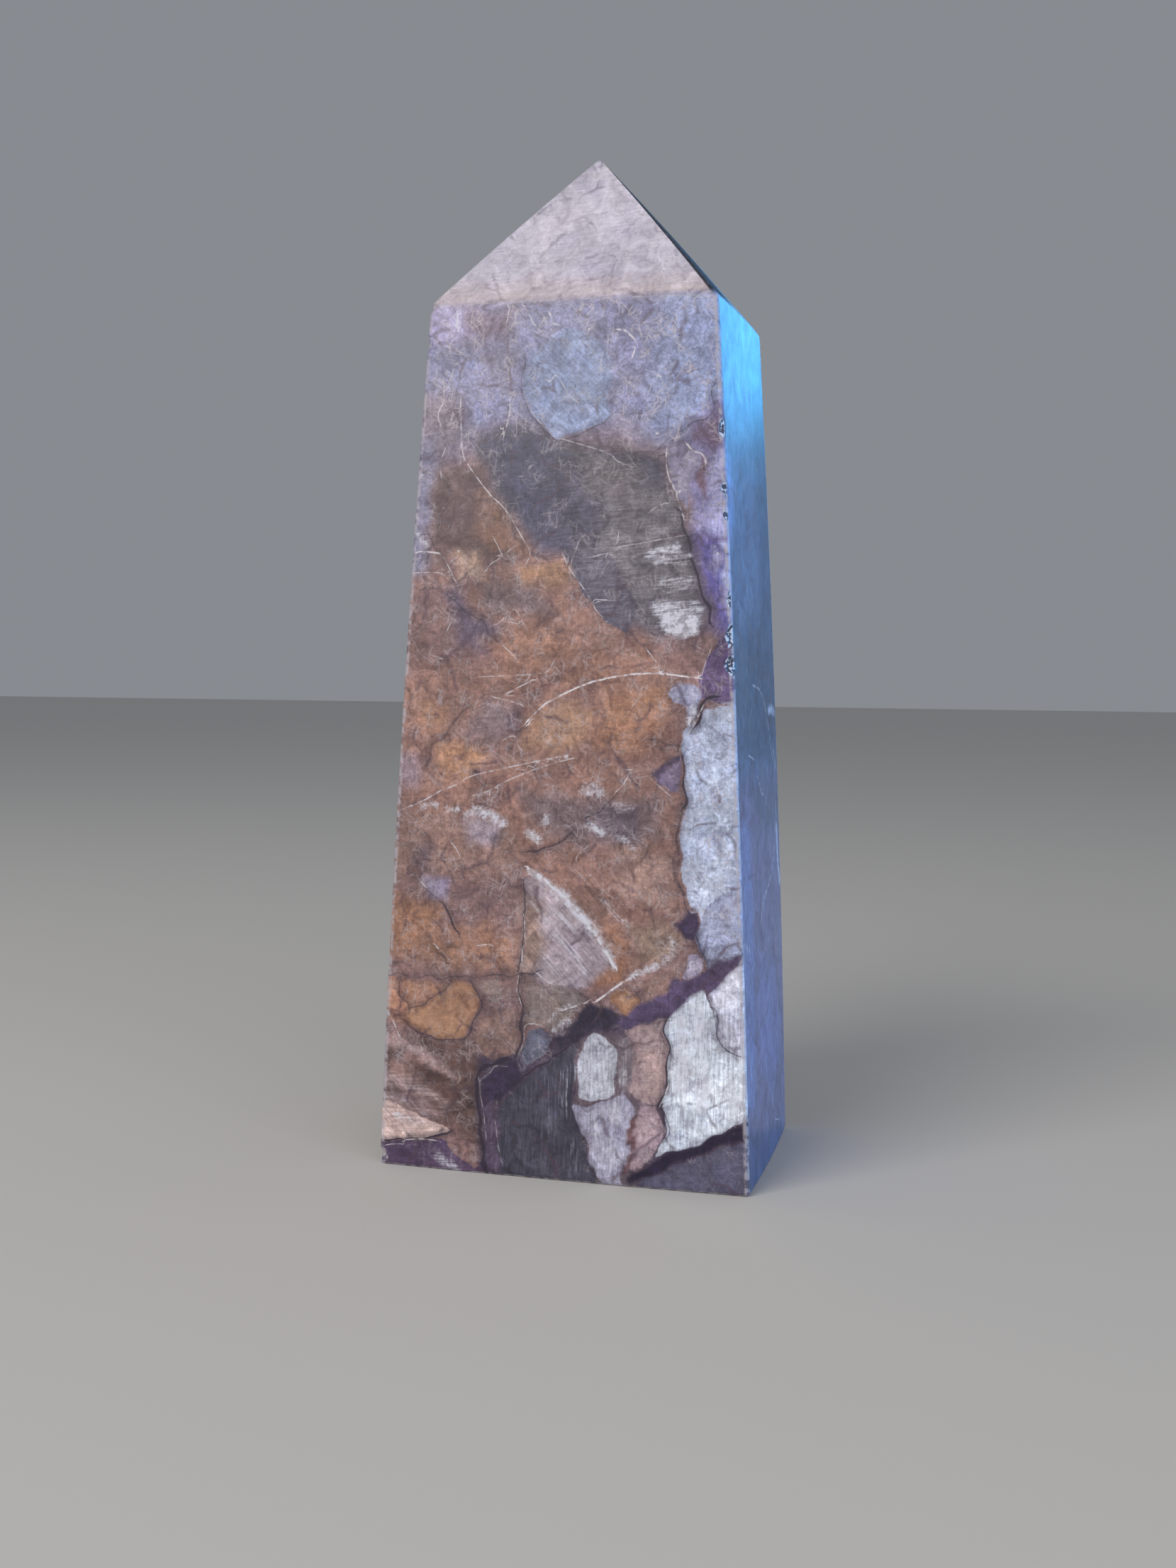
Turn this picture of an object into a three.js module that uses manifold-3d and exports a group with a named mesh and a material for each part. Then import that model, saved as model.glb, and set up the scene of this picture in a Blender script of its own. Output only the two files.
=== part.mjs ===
// A polished lepidolite tower: one piece of mica-rich stone, cut as a four-sided tapering
// obelisk with a four-sided point and a flat sawn base. Millimetres, +Z up. The origin is the
// middle of the base, on the surface that the tower stands on. The broad face towards -Y is the front.
import * as THREE from 'three';
import { LoftGeometry } from 'three/addons/geometries/LoftGeometry.js';
import { mergeVertices } from 'three/addons/utils/BufferGeometryUtils.js';
import Module from 'manifold-3d';

// Driving dimensions
const baseWidth = 40;
const baseDepth = 26.8;
const apex = new THREE.Vector3(-0.1, 0, 108);
// The cut isn't quite regular: each corner of the shoulder, where the point starts, has its own place.
const shoulderCorners = [
  new THREE.Vector3(-15.5, -10.65, 90.9),
  new THREE.Vector3(14.9, -10.65, 90.55),
  new THREE.Vector3(15.9, 10.65, 90.65),
  new THREE.Vector3(-15.3, 10.6, 90.8),
];

// Grinding on a wheel leaves every face slightly crowned.
const lengthwiseCrown = { x: 0.36, y: 0.32 };
const crosswiseCrown = 0.28;
const pointCrown = 0.22;

// The buff takes each edge off to a small radius, the base has a narrow bevel, and the tip stops
// just short of a true point.
const edgeRadius = 0.35;
const edgeTuck = 0.2;
const baseBevel = 0.45;
const tipShare = 0.986;

// How finely the solid follows those curves
const bodySteps = 14;
const pointSteps = 5;
const stepsAcrossFace = 6;
const stepsRoundEdge = 2;

// Chips in the edges: shell-shaped flakes, each given by the edge it is on, its height, its
// length along the edge, its reach across it and how far it goes in.
const chips = [
  { edge: 1, height: 77.4, length: 3.2, reach: 1.1, depth: 0.42 },
  { edge: 1, height: 71.2, length: 1.8, reach: 1.0, depth: 0.5 },
  { edge: 1, height: 68.6, length: 1.7, reach: 0.9, depth: 0.4 },
  { edge: 1, height: 60.4, length: 3.4, reach: 0.8, depth: 0.34 },
  { edge: 1, height: 56.6, length: 3.4, reach: 1.3, depth: 0.62 },
  { edge: 1, height: 53.6, length: 2.6, reach: 1.6, depth: 0.8 },
  { edge: 0, height: 86.8, length: 2.2, reach: 0.9, depth: 0.4 },
  { edge: 0, height: 90.7, length: 1.7, reach: 1.5, depth: 0.75 },
  { edge: 0, height: 0.9, length: 2.4, reach: 1.5, depth: 0.8 },
];
const chipThicknessPerDepth = 2.2;
const chipDetail = 2;
const mergeTolerance = 1e-4;

const baseCorners = [
  new THREE.Vector3(-baseWidth / 2, -baseDepth / 2, 0),
  new THREE.Vector3(baseWidth / 2, -baseDepth / 2, 0),
  new THREE.Vector3(baseWidth / 2, baseDepth / 2, 0),
  new THREE.Vector3(-baseWidth / 2, baseDepth / 2, 0),
];

// A shallow arch: nothing at either end, one in the middle.
const crown = (share) => 4 * share * (1 - share);

// The corner between two body faces, at a share of the way from base to shoulder.
function bodyCorner(index, share) {
  const corner = baseCorners[index].clone().lerp(shoulderCorners[index], share);
  corner.x += Math.sign(corner.x) * lengthwiseCrown.x * crown(share);
  corner.y += Math.sign(corner.y) * lengthwiseCrown.y * crown(share);
  return corner;
}

// The corner between two faces of the point, at a share of the way from shoulder to apex.
function pointCorner(index, share) {
  const outward = new THREE.Vector3(baseCorners[index].x, baseCorners[index].y, 0).normalize();
  const onRidge = shoulderCorners[index].clone().lerp(apex, share);
  return onRidge.addScaledVector(outward, pointCrown * crown(share));
}

// The turn round one corner, from the side before it to the side after it.
function cornerTurn(before, corner, after, radius) {
  const start = corner.clone().addScaledVector(before.clone().sub(corner).normalize(), radius);
  const end = corner.clone().addScaledVector(after.clone().sub(corner).normalize(), radius);
  const middle = corner.clone().lerp(start.clone().lerp(end, 0.5), edgeTuck);
  return new THREE.QuadraticBezierCurve3(start, middle, end).getPoints(stepsRoundEdge);
}

// The points across one face between two corner turns, bowed out by the crosswise crown. The bow
// fades where the face narrows to nothing at the tip.
function acrossFace(from, to) {
  const side = to.clone().sub(from);
  const outward = new THREE.Vector3(side.y, -side.x, 0).normalize();
  const bow = crosswiseCrown * Math.min(1, side.length() / baseDepth);
  const points = [];
  for (let step = 1; step < stepsAcrossFace; step++) {
    const share = step / stepsAcrossFace;
    points.push(from.clone().lerp(to, share).addScaledVector(outward, bow * crown(share)));
  }
  return points;
}

// One ring round four corners. An inset draws it in towards the middle, for the bevel at the base.
function ring(corners, radius, inset = 0) {
  const turns = corners.map((corner, index) => {
    return cornerTurn(corners[(index + 3) % 4], corner, corners[(index + 1) % 4], radius);
  });
  const points = turns.flatMap((turn, index) => {
    const nextTurn = turns[(index + 1) % 4];
    return [...turn, ...acrossFace(turn[turn.length - 1], nextTurn[0])];
  });
  return points.map((point) => {
    const inwards = new THREE.Vector3(-Math.sign(point.x), -Math.sign(point.y), 0);
    return point.addScaledVector(inwards, inset);
  });
}

// The whole tower as a stack of rings, from the bevel at the base to the blunt little tip.
function towerGeometry() {
  const cornersAt = (place, share) => shoulderCorners.map((corner, index) => place(index, share));
  const sections = [ring(cornersAt(bodyCorner, 0), edgeRadius, baseBevel)];
  const bodyStart = baseBevel / shoulderCorners[0].z;
  const bodyEnd = 1 - edgeRadius / shoulderCorners[0].z;
  for (let step = 0; step <= bodySteps; step++) {
    const share = bodyStart + (bodyEnd - bodyStart) * (step / bodySteps);
    sections.push(ring(cornersAt(bodyCorner, share), edgeRadius));
  }
  const pointStart = edgeRadius / shoulderCorners[0].distanceTo(apex);
  for (let step = 0; step <= pointSteps; step++) {
    const share = pointStart + (tipShare - pointStart) * (step / pointSteps);
    sections.push(ring(cornersAt(pointCorner, share), edgeRadius * (1 - share)));
  }
  return new LoftGeometry(sections, { capStart: true, capEnd: true });
}

// A flake that a knock took off an edge: a flattened ball sunk into the edge, facing out of it.
function chipGeometry({ edge, height, length, reach, depth }) {
  const corner = bodyCorner(edge, Math.min(height / shoulderCorners[edge].z, 1));
  const outward = new THREE.Vector3(corner.x / baseWidth, corner.y / baseDepth, 0).normalize();
  const thickness = depth * chipThicknessPerDepth;
  const middle = corner.clone().setZ(height).addScaledVector(outward, thickness - depth);
  const geometry = new THREE.IcosahedronGeometry(1, chipDetail);
  geometry.scale(thickness, reach, length / 2);
  geometry.rotateZ(Math.atan2(outward.y, outward.x));
  geometry.translate(middle.x, middle.y, middle.z);
  return geometry;
}

function toSolid(wasm, geometry) {
  const plain = new THREE.BufferGeometry().copy(geometry);
  plain.deleteAttribute('normal');
  plain.deleteAttribute('uv');
  const merged = mergeVertices(plain, mergeTolerance);
  return new wasm.Manifold(new wasm.Mesh({
    numProp: 3,
    vertProperties: new Float32Array(merged.attributes.position.array),
    triVerts: new Uint32Array(merged.index.array),
  }));
}

function toGeometry(solid) {
  const { vertProperties, triVerts } = solid.getMesh();
  const geometry = new THREE.BufferGeometry();
  geometry.setAttribute('position', new THREE.BufferAttribute(vertProperties, 3));
  geometry.setIndex(new THREE.BufferAttribute(triVerts, 1));
  geometry.computeVertexNormals();
  return geometry;
}

const wasm = await Module();
wasm.setup();
const stone = chips.reduce(
  (solid, chip) => solid.subtract(toSolid(wasm, chipGeometry(chip))),
  toSolid(wasm, towerGeometry()),
);

const polishedLepidolite = new THREE.MeshStandardMaterial({
  color: 0x8f7d7a,
  roughness: 0.32,
  metalness: 0,
});
const tower = new THREE.Mesh(toGeometry(stone), polishedLepidolite);
tower.name = 'lepidolite_tower';

const model = new THREE.Group();
model.add(tower);
export default model;
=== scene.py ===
import math
from functools import partial
import bpy
import numpy as np
from mathutils import Matrix


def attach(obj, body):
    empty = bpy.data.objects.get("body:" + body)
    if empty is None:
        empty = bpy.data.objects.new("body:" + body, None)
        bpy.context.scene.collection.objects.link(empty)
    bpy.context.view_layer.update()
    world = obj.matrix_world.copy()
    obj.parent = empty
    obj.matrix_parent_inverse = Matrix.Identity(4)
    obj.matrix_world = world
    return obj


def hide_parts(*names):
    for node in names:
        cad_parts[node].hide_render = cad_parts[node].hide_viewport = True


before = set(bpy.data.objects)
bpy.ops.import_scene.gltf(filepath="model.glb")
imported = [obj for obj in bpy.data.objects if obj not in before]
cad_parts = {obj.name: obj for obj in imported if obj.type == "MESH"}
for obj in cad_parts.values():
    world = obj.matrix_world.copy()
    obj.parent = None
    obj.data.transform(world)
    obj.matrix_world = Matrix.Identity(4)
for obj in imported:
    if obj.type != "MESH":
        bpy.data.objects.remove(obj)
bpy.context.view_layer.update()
mm = 0.001
tiny = 1e-9  # keeps a length of zero from dividing


def linear(hexColour):
    # sRGB hex to linear light: v/12.92 below the toe, ((v+0.055)/1.055)^2.4 above it
    v = np.array([int(hexColour[i:i + 2], 16) / 255 for i in (1, 3, 5)])
    return np.where(v <= 0.04045, v / 12.92, ((v + 0.055) / 1.055) ** 2.4)


def smooth(low, high, x):
    # the S curve 3t^2 - 2t^3 between low and high
    t = np.clip((x - low) / (high - low), 0, 1)
    return t * t * (3 - 2 * t)


def mixed(a, b, share):
    # a where the share is 0, b where it is 1: a (1 - share) + b share
    return a * (1 - share) + b * share


def unit(v):
    # each vector divided by its length
    return v / np.linalg.norm(v, axis=-1, keepdims=True)


# the stone's shape, in mm
tower = {
    "baseWidth": 40.0,
    "baseDepth": 26.8,
    "apex": (-0.1, 0.0, 108.0),
    "shoulder": [(-15.5, -10.65, 90.9), (14.9, -10.65, 90.55), (15.9, 10.65, 90.65), (-15.3, 10.6, 90.8)],
    "crownLengthwise": (0.36, 0.32),
    "crownCrosswise": 0.28,
    "crownOfPoint": 0.22,
    "edgeRadius": 0.35,
    "edgeTuck": 0.2,
    "baseBevel": 0.45,
    "tipShare": 0.986,
    "columns": {"front": 132, "right": 54, "back": 50, "left": 54},
    "columnsPerTurn": 5,
    "crowding": 0.035,  # how far the columns draw towards the edges of their face
    "levels": {"base": 6, "bevel": 4, "body": 262, "shoulder": 3, "point": 40},
}
chips = {  # flakes knocked off the edges
    "flakes": [  # edge, height, length, reach, depth
        (1, 77.4, 3.2, 1.1, 0.42),
        (1, 71.2, 1.8, 1.0, 0.50),
        (1, 68.6, 1.7, 0.9, 0.40),
        (1, 60.4, 3.4, 0.8, 0.34),
        (1, 56.6, 3.4, 1.3, 0.62),
        (1, 53.6, 2.6, 1.6, 0.80),
        (0, 86.8, 2.2, 0.9, 0.40),
        (0, 90.7, 1.7, 1.5, 0.75),
        (0, 0.9, 2.4, 1.5, 0.80),
    ],
    # the bright facets are painted glints
    "freshEdge": 1,  # chips here show dark and bright facets, those on other edges are only pale
    "thicknessPerDepth": 2.2,
    "ripples": ((5.1, 0, 0.16), (11, 4, 0.10), (14, 9, 0.06)),  # per mm up, per mm across, share
    "seed": 4,
    "phases": (0, 6.3),
}
# what a point of the mesh belongs to, known by its number in this list
partNames = ["front", "right", "back", "left",
             "frontLeftEdge", "frontRightEdge", "backRightEdge", "backLeftEdge", "under"]
cornerSigns = np.array([(-1, -1), (1, -1), (1, 1), (-1, 1)])
halfBase = np.array([tower["baseWidth"], tower["baseDepth"]]) / 2


def arch(share):
    # nothing at either end, one in the middle: 4 s (1 - s)
    return 4 * share * (1 - share)


def turned(start, middle, end, s):
    # quadratic curve: (1 - s)^2 start + 2 s (1 - s) middle + s^2 end
    return (1 - s) ** 2 * start + 2 * s * (1 - s) * middle + s ** 2 * end


def bodyCorners(share):
    # straight from base corner to shoulder corner, bowed outwards by the lengthwise crown
    base = np.hstack([cornerSigns * halfBase, np.zeros((4, 1))])
    s = share[:, None, None]
    corners = mixed(base, np.array(tower["shoulder"]), s)
    corners[..., :2] += cornerSigns * np.array(tower["crownLengthwise"]) * arch(s)
    return corners


def pointCorners(share):
    # straight from shoulder corner to apex, bowed outwards by the crown of the point
    s = share[:, None, None]
    corners = mixed(np.array(tower["shoulder"]), np.array(tower["apex"]), s)
    corners[..., :2] += unit(cornerSigns * halfBase) * tower["crownOfPoint"] * arch(s)
    return corners


def ringPoints(corners, radius, inset):
    # round the four corners: a quadratic turn at each corner, then the face bowed out by
    # crown * 4 t (1 - t); the inset draws all of it in towards the middle
    turnShare = np.linspace(0, 1, tower["columnsPerTurn"])[None, :, None]
    turns = []
    for i in range(4):
        corner = corners[:, i]
        start = corner + unit(corners[:, (i + 3) % 4] - corner) * radius[:, None]
        end = corner + unit(corners[:, (i + 1) % 4] - corner) * radius[:, None]
        middle = mixed(corner, (start + end) / 2, tower["edgeTuck"])
        turns.append(turned(start[:, None], middle[:, None], end[:, None], turnShare))
    rings = []
    parts = []
    for i in (3, 0, 1, 2):
        a = turns[i][:, -1]
        b = turns[(i + 1) % 4][:, 0]
        side = b - a
        outward = unit(np.stack([side[:, 1], -side[:, 0], 0 * side[:, 0]], -1))
        bow = tower["crownCrosswise"] * np.minimum(1, np.linalg.norm(side, axis=1) / tower["baseDepth"])
        count = tower["columns"][partNames[i]]
        even = np.arange(1, count + 1) / (count + 1)
        t = (even - tower["crowding"] * np.sin(2 * np.pi * even))[None, :, None]
        bowed = mixed(a[:, None], b[:, None], t) + outward[:, None] * bow[:, None, None] * arch(t)
        rings += [turns[i], bowed]
        parts += [4 + i] * tower["columnsPerTurn"] + [i] * count
    points = np.concatenate(rings, 1)
    points[..., :2] -= np.sign(points[..., :2]) * inset[:, None, None]
    return points, np.array(parts)


def towerGrid():
    # all levels from the base bevel to the tip, as one array of (level, column, xyz)
    n = tower["levels"]
    r = tower["edgeRadius"]
    bevel = tower["baseBevel"]
    height = tower["shoulder"][0][2]
    slant = math.dist(tower["shoulder"][0], tower["apex"])
    turn = np.linspace(0, np.pi / 2, n["bevel"] + 1)
    bodyShare = np.linspace(bevel / height, 1 - r / height, n["body"])[1:]
    body = bodyCorners(np.concatenate([bevel * (1 - np.cos(turn)) / height, bodyShare]))
    pointShare = np.linspace(r / slant, tower["tipShare"], n["point"])
    point = pointCorners(pointShare)
    t = np.linspace(0, 1, n["shoulder"] + 2)[1:-1][:, None, None]
    middle = mixed(np.array(tower["shoulder"]), (body[-1] + point[0]) / 2, tower["edgeTuck"])
    corners = np.concatenate([body, turned(body[-1], middle, point[0], t), point])
    radius = np.concatenate([np.full(len(body) + len(t), r), r * (1 - pointShare)])
    inset = np.zeros(len(corners))
    inset[:len(turn)] = bevel * (1 - np.sin(turn))
    return ringPoints(corners, radius, inset)


def bite(points):
    # each chip: points inside a flattened ball go back to its far wall along the corner's outward line
    depths = {"fresh": np.zeros(points.shape[:2]), "pale": np.zeros(points.shape[:2])}
    rng = np.random.default_rng(chips["seed"])
    for edge, height, length, reach, depth in chips["flakes"]:
        corner = bodyCorners(np.array([min(height / tower["shoulder"][edge][2], 1)]))[0, edge]
        out = unit(corner[:2] / halfBase)
        thick = depth * chips["thicknessPerDepth"]
        rel = points[..., :2] - corner[:2] - out * (thick - depth)
        a = rel @ out
        b = rel @ np.array([-out[1], out[0]])
        h = points[..., 2] - height
        phases = rng.uniform(*chips["phases"], len(chips["ripples"]))
        border, finer, wall = (share * np.sin(perUp * h + perAcross * b + phase)
                               for (perUp, perAcross, share), phase in zip(chips["ripples"], phases))
        left = 1 - (b / (reach * (1 + border + finer))) ** 2 - (h / (length / 2)) ** 2
        farWall = -thick * np.sqrt(np.clip(left, 0, 1)) * (1 + wall)
        push = np.where((left > 0) & (a > farWall), farWall - a, 0)
        points[..., :2] += push[..., None] * out
        look = "fresh" if edge == chips["freshEdge"] else "pale"
        depths[look] = np.maximum(depths[look], -push)
    return depths


grid, columnPart = towerGrid()
chipDepths = bite(grid)
levelCount, columnCount = grid.shape[:2]
print("stone grid:", levelCount, "levels,", columnCount, "columns")

# Places on the stone for its markings. "across" runs round the tower in mm and equals x on the
# front; "up" is the height. Underneath, "up" goes on below zero by the distance in from the front.
step = np.linalg.norm(np.diff(grid, axis=1), axis=2)
alongRing = np.concatenate([np.zeros((levelCount, 1)), np.cumsum(step, 1)], 1)
firstFront = int(np.argmax(columnPart == partNames.index("front")))
across = alongRing - alongRing[:, firstFront:firstFront + 1] + grid[:, firstFront:firstFront + 1, 0]
up = grid[..., 2].copy()

# the flat base: rings shrinking to the middle
shrink = np.linspace(1, 0, tower["levels"]["base"] + 1)[1:-1]
under = grid[0][None] * np.array([1, 1, 0]) * shrink[:, None, None]

# the ground colours of the stone, before its markings
stoneColours = {
    "body": "#8d706e",
    # the right face's steel blue is partly a painted reflection of cool light
    "right": "#657c9b",
    "point": "#cfc9d6",
    "footOfPoint": "#d2bdb8",
    # the point's right facet: painted dark reflection beside its front ridge, painted shade behind it
    "darkReflectionBesideRidge": "#2c2d36",
    "shadeBehindRidge": "#67646f",
}

# Markings, drawn from the photograph, in mm: (across, up). Soft patches have a colour, the
# softness of their border and an outline. Plates have a sharp border, and are in three sets so that
# neighbours never share one. Lines and glints have a half width, a strength and the line itself.
frontFace = {
    "soft": [
        # lilac zone under the shoulder
        ("#898aac", 2.6, [(22, 76), (22, 92), (-22, 92), (-22, 76), (-12, 75.5), (-8, 77.5), (0, 77),
            (8, 77), (11, 75)]),
        ("#949fc5", 2.6, [(8, 77), (22, 76), (22, 92), (10, 92)]),
        ("#7c6a7d", 1.4, [(-13, 91), (-6, 90), (-7, 86.5), (-12, 87)]),
        ("#877b8c", 1.4, [(-18, 82), (-11.5, 81.5), (-11, 76), (-14, 75), (-18, 77)]),
        ("#b1a8cd", 1.1, [(-17, 91), (-11.5, 90.6), (-12.3, 86.5), (-15.5, 87), (-17, 89)]),
        ("#7b778f", 1.2, [(-5.5, 86), (-6, 81.5), (-10, 82), (-9.5, 86)]),
        # slate wedge
        ("#575467", 1.3, [(-11, 76.5), (-5, 78.5), (0, 76.2), (8, 75.2), (10.3, 74), (11, 70), (12.5, 66),
            (15, 57), (8, 56.6), (3.5, 58.5), (0.3, 64.5), (-3, 65), (-5.5, 68)]),
        ("#4c4b61", 1.6, [(-8.5, 77), (-2, 77), (-1.5, 68), (-4.5, 67), (-7, 70)]),
        ("#7b747c", 1.8, [(4.5, 72.5), (11, 71), (14.5, 59), (9, 57.2), (4, 59), (3, 65)]),
        ("#6a6369", 1.2, [(0.5, 75.5), (8, 73), (6, 70), (2, 71)]),
        # grey left edge, and the brown corner beside the wedge
        ("#86839c", 1, [(-18, 62.5), (-15.6, 62.5), (-14.6, 73), (-14.6, 77), (-18, 77)]),
        ("#625052", 1.2, [(-14.2, 73.5), (-10, 73), (-5.5, 67), (-5, 64), (-14, 65.5), (-14.6, 69)]),
        ("#6c5657", 0.7, [(-4.1, 65.1), (-8, 65.4), (-13.6, 65.2), (-15, 70), (-13.4, 72.6), (-11.2, 74.2),
            (-5.1, 66.9)]),
        ("#8c6a5c", 1, [(-9.6, 71.4), (-8, 70.6), (-5.1, 66.9), (-4.1, 65.1), (-8, 65.2), (-10, 67)]),
        # orange-brown body
        ("#98756b", 1.5, [(-19, 62), (-12, 62.5), (-5, 64), (-1, 64), (3.5, 58.5), (9, 56.3), (11, 53),
            (12.3, 47), (12, 42), (12, 30), (13, 26), (8, 22), (-4, 22), (-4, 33), (-21, 33), (-19, 45)]),
        ("#8d6f6c", 1.4, [(-20, 61.5), (-12.5, 62), (-11.5, 56), (-9, 53.5), (-20, 53)]),
        ("#776779", 1, [(-13.2, 61), (-11.5, 61.5), (-10, 58.5), (-7, 57.5), (-8, 54.5), (-11.5, 55.5)]),
        ("#796669", 1.2, [(-9.6, 62), (-3, 61.8), (-1.5, 58.5), (-6, 59), (-8.5, 58.5)]),
        ("#bc9e8d", 0.7, [(-12.2, 65.2), (-9.5, 65), (-9.1, 62.5), (-11.8, 62.2)]),
        ("#a8836c", 0.7, [(-5.2, 63.4), (-0.8, 64), (0.8, 62), (-1.5, 61.6), (-4.6, 61.8)]),
        ("#a17a6b", 1.2, [(-9, 56), (-1, 57.5), (2, 55), (8, 54.5), (9, 53), (1, 51.5), (-6, 52)]),
        ("#896b62", 0.8, [(2.4, 57.4), (5.4, 56.4), (4.8, 54.6), (2.6, 55.2)]),
        ("#a8806c", 1, [(-16.6, 50), (-13.2, 49.3), (-12.8, 46.6), (-15.5, 46)]),
        ("#c29477", 1, [(-14, 45.2), (-10, 45.4), (-8.4, 44), (-10.5, 41.4), (-13.4, 41.8)]),
        ("#b8917a", 0.9, [(-4.6, 45), (-3.2, 48.6), (-0.4, 49.8), (2.6, 48.6), (2.4, 46), (0, 44.9)]),
        ("#aa7f69", 1.2, [(3.5, 45), (4.5, 51), (10.6, 51.5), (10.8, 46.8), (8, 44.6)]),
        ("#947f83", 1.1, [(-10.6, 46), (-8.6, 50), (-5.2, 49), (-5.2, 46.4), (-8, 45.6)]),
        ("#7b636e", 0.7, [(-4.8, 48.8), (-5, 46.8), (-6.2, 47), (-5.8, 48.6)]),
        ("#9d868f", 0.9, [(-20, 44.2), (-16.2, 44), (-15.4, 41.5), (-16, 40.6), (-20, 40.6)]),
        ("#88665f", 1, [(-5.6, 42), (-6.4, 38.8), (-9.6, 38.6), (-9.4, 41)]),
        ("#97786f", 1.2, [(-20, 38), (-6, 38), (-5, 31), (-17, 31), (-20, 32)]),
        ("#a2939e", 0.9, [(-10.8, 37.4), (-6.4, 37), (-7.2, 35), (-10.2, 35.2)]),
        ("#796369", 0.8, [(-15.2, 35.2), (-14.3, 34.6), (-14.8, 31.6), (-16.4, 31), (-16.8, 33.4)]),
        ("#a196b0", 0.6, [(-15.4, 31), (-12.2, 30.9), (-12.9, 29), (-14.6, 29)]),
        ("#9d7560", 1.5, [(-20, 29.4), (-12.6, 28), (-11.6, 22), (-20, 22.6)]),
        ("#a67e6c", 1, [(-13.8, 25.4), (-8, 26.6), (-5, 25), (-5.2, 21.8), (-13, 21.4)]),
        ("#a87e69", 0.5, [(-19, 16), (-17.6, 20), (-11, 20.2), (-12.5, 14.6), (-17, 15)]),
        ("#816d70", 1.1, [(-5, 40.8), (3, 40), (10, 40.4), (10.2, 36.2), (4.4, 34.9), (-1, 36),
            (-3.6, 37.4)]),
        ("#6d5f6b", 0.7, [(3.8, 38.6), (7.6, 39.2), (8.2, 36), (6, 36), (4.2, 36.8)]),
        ("#b49389", 1.1, [(5.4, 35), (11.4, 34), (11.6, 29), (6, 30.6)]),
        ("#aa8f80", 0.8, [(12.8, 25.6), (10.6, 23.6), (7.8, 23.2), (7.4, 26.8), (11.4, 27.4)]),
        ("#a3765f", 0.7, [(3.2, 20.4), (6.6, 21.2), (7.2, 25.8), (4.8, 27.4), (5.2, 23.4), (3, 23.6)]),
        ("#94776e", 0.7, [(7.8, 21), (12.6, 22.6), (11, 20.4), (9, 19.6)]),
        # brown foot, with its silky sweeps: the pale bands are painted sheen along the fibres
        ("#664e4b", 1.1, [(-23, 14), (-9.4, 14), (-8.7, 4), (-12, 4.8), (-17, 7), (-23, 8)]),
        ("#5f4a47", 1, [(-9.2, 12.4), (-8.6, 7), (-8.6, 3), (-10.8, 4.4), (-11.2, 10.6)]),
        ("#997c77", 0.6, [(-16.6, 12.4), (-15.4, 9.6), (-18, 8.4), (-19.4, 10.6)]),
        ("#a38988", 0.5, [(-21, 14.4), (-17.4, 14), (-13.4, 11.8), (-11.4, 10.2), (-13.8, 10.8),
            (-17.6, 12.8), (-21, 13.1)]),
        ("#a58b88", 0.5, [(-21, 10.5), (-16.8, 9.6), (-12.4, 7.1), (-17.2, 8.3), (-21, 9)]),
        ("#b39a95", 0.4, [(-21, 8), (-17, 7.5), (-14.2, 5.8), (-17.4, 6.5), (-21, 6.9)]),
        ("#8d7676", 0.6, [(-19.4, 7.9), (-15, 7.4), (-12.6, 6.2), (-13.8, 5.5), (-17, 6.6)]),
        # fan of white rays
        ("#b7a8b0", 0.5, [(-4, 31.6), (-2.6, 31.6), (0, 29.8), (3, 26.6), (5.4, 23), (3.2, 20.6),
            (-1, 20.2), (-4.1, 21.6)]),
        ("#a68b81", 0.8, [(-4.2, 30), (-2.4, 28.8), (-1.8, 25), (-2.8, 21.4), (-4.3, 21.4)]),
        # purple strip up the right edge
        ("#8f8ab4", 0.7, [(13.2, 66.4), (17.4, 66.4), (17, 80), (14.8, 80), (12.5, 78), (12.4, 71)]),
        ("#a5a5cf", 0.7, [(17.2, 66.4), (17, 75), (15.4, 75), (14.4, 74), (14.8, 70), (14.6, 66.8)]),
        ("#645ea4", 1.1, [(12.9, 66.4), (15.7, 56.8), (17.5, 57.2), (17.3, 65.8), (15, 66.6)]),
        ("#a9a4c8", 0.5, [(14.9, 65.4), (15.8, 64.4), (15.6, 62.6), (14.7, 63.4)]),
        ("#a59ec6", 0.4, [(16, 61.8), (16.6, 60.8), (16.5, 58.8), (15.8, 60)]),
        ("#b0b6e0", 0.4, [(15.9, 66), (17.4, 66), (17.6, 57.6), (16.7, 58.4)]),
        # between the plates at the foot
        ("#54465a", 0.5, [(20.6, 25), (20.6, -3), (-8.4, -3), (-8.9, 12.6), (-4.4, 13.2), (-0.6, 16.2),
            (5.9, 17.6)]),
        ("#75666f", 0.5, [(1.8, 15.8), (7.4, 15.8), (11.2, 17), (11.2, 9), (8.6, 0.8), (5.4, -3), (3.2, 3),
            (1.6, 8)]),
        # purple seam at the head of the strip
        ("#67546e", 0.9, [(15.2, 80.6), (16.2, 76), (14.6, 74.6), (14.2, 75.4), (12.8, 76), (12.6, 77.4),
            (14.6, 78.6)]),
        ("#6b5261", 0.5, [(13.3, 74.6), (14.2, 73.6), (14.5, 72), (14, 70), (13.2, 72.6)]),
        ("#8e7f7c", 0.4, [(2, 20.2), (2.4, 18.6), (-0.4, 15.4), (-3.8, 16.6), (-3.9, 20.6)]),
    ],
    "plates": {
        "broadPlates": [
            ("#909dc0", [(1.4, 87.3), (3.3, 86), (4.2, 84), (3.9, 79.6), (4.1, 78.9), (1.6, 77.2),
                (0.2, 76.9), (-1.6, 76.9), (-3.6, 79), (-4.9, 81), (-4.9, 84.6), (-3.9, 85.8),
                (-0.6, 87.4)]),
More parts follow.
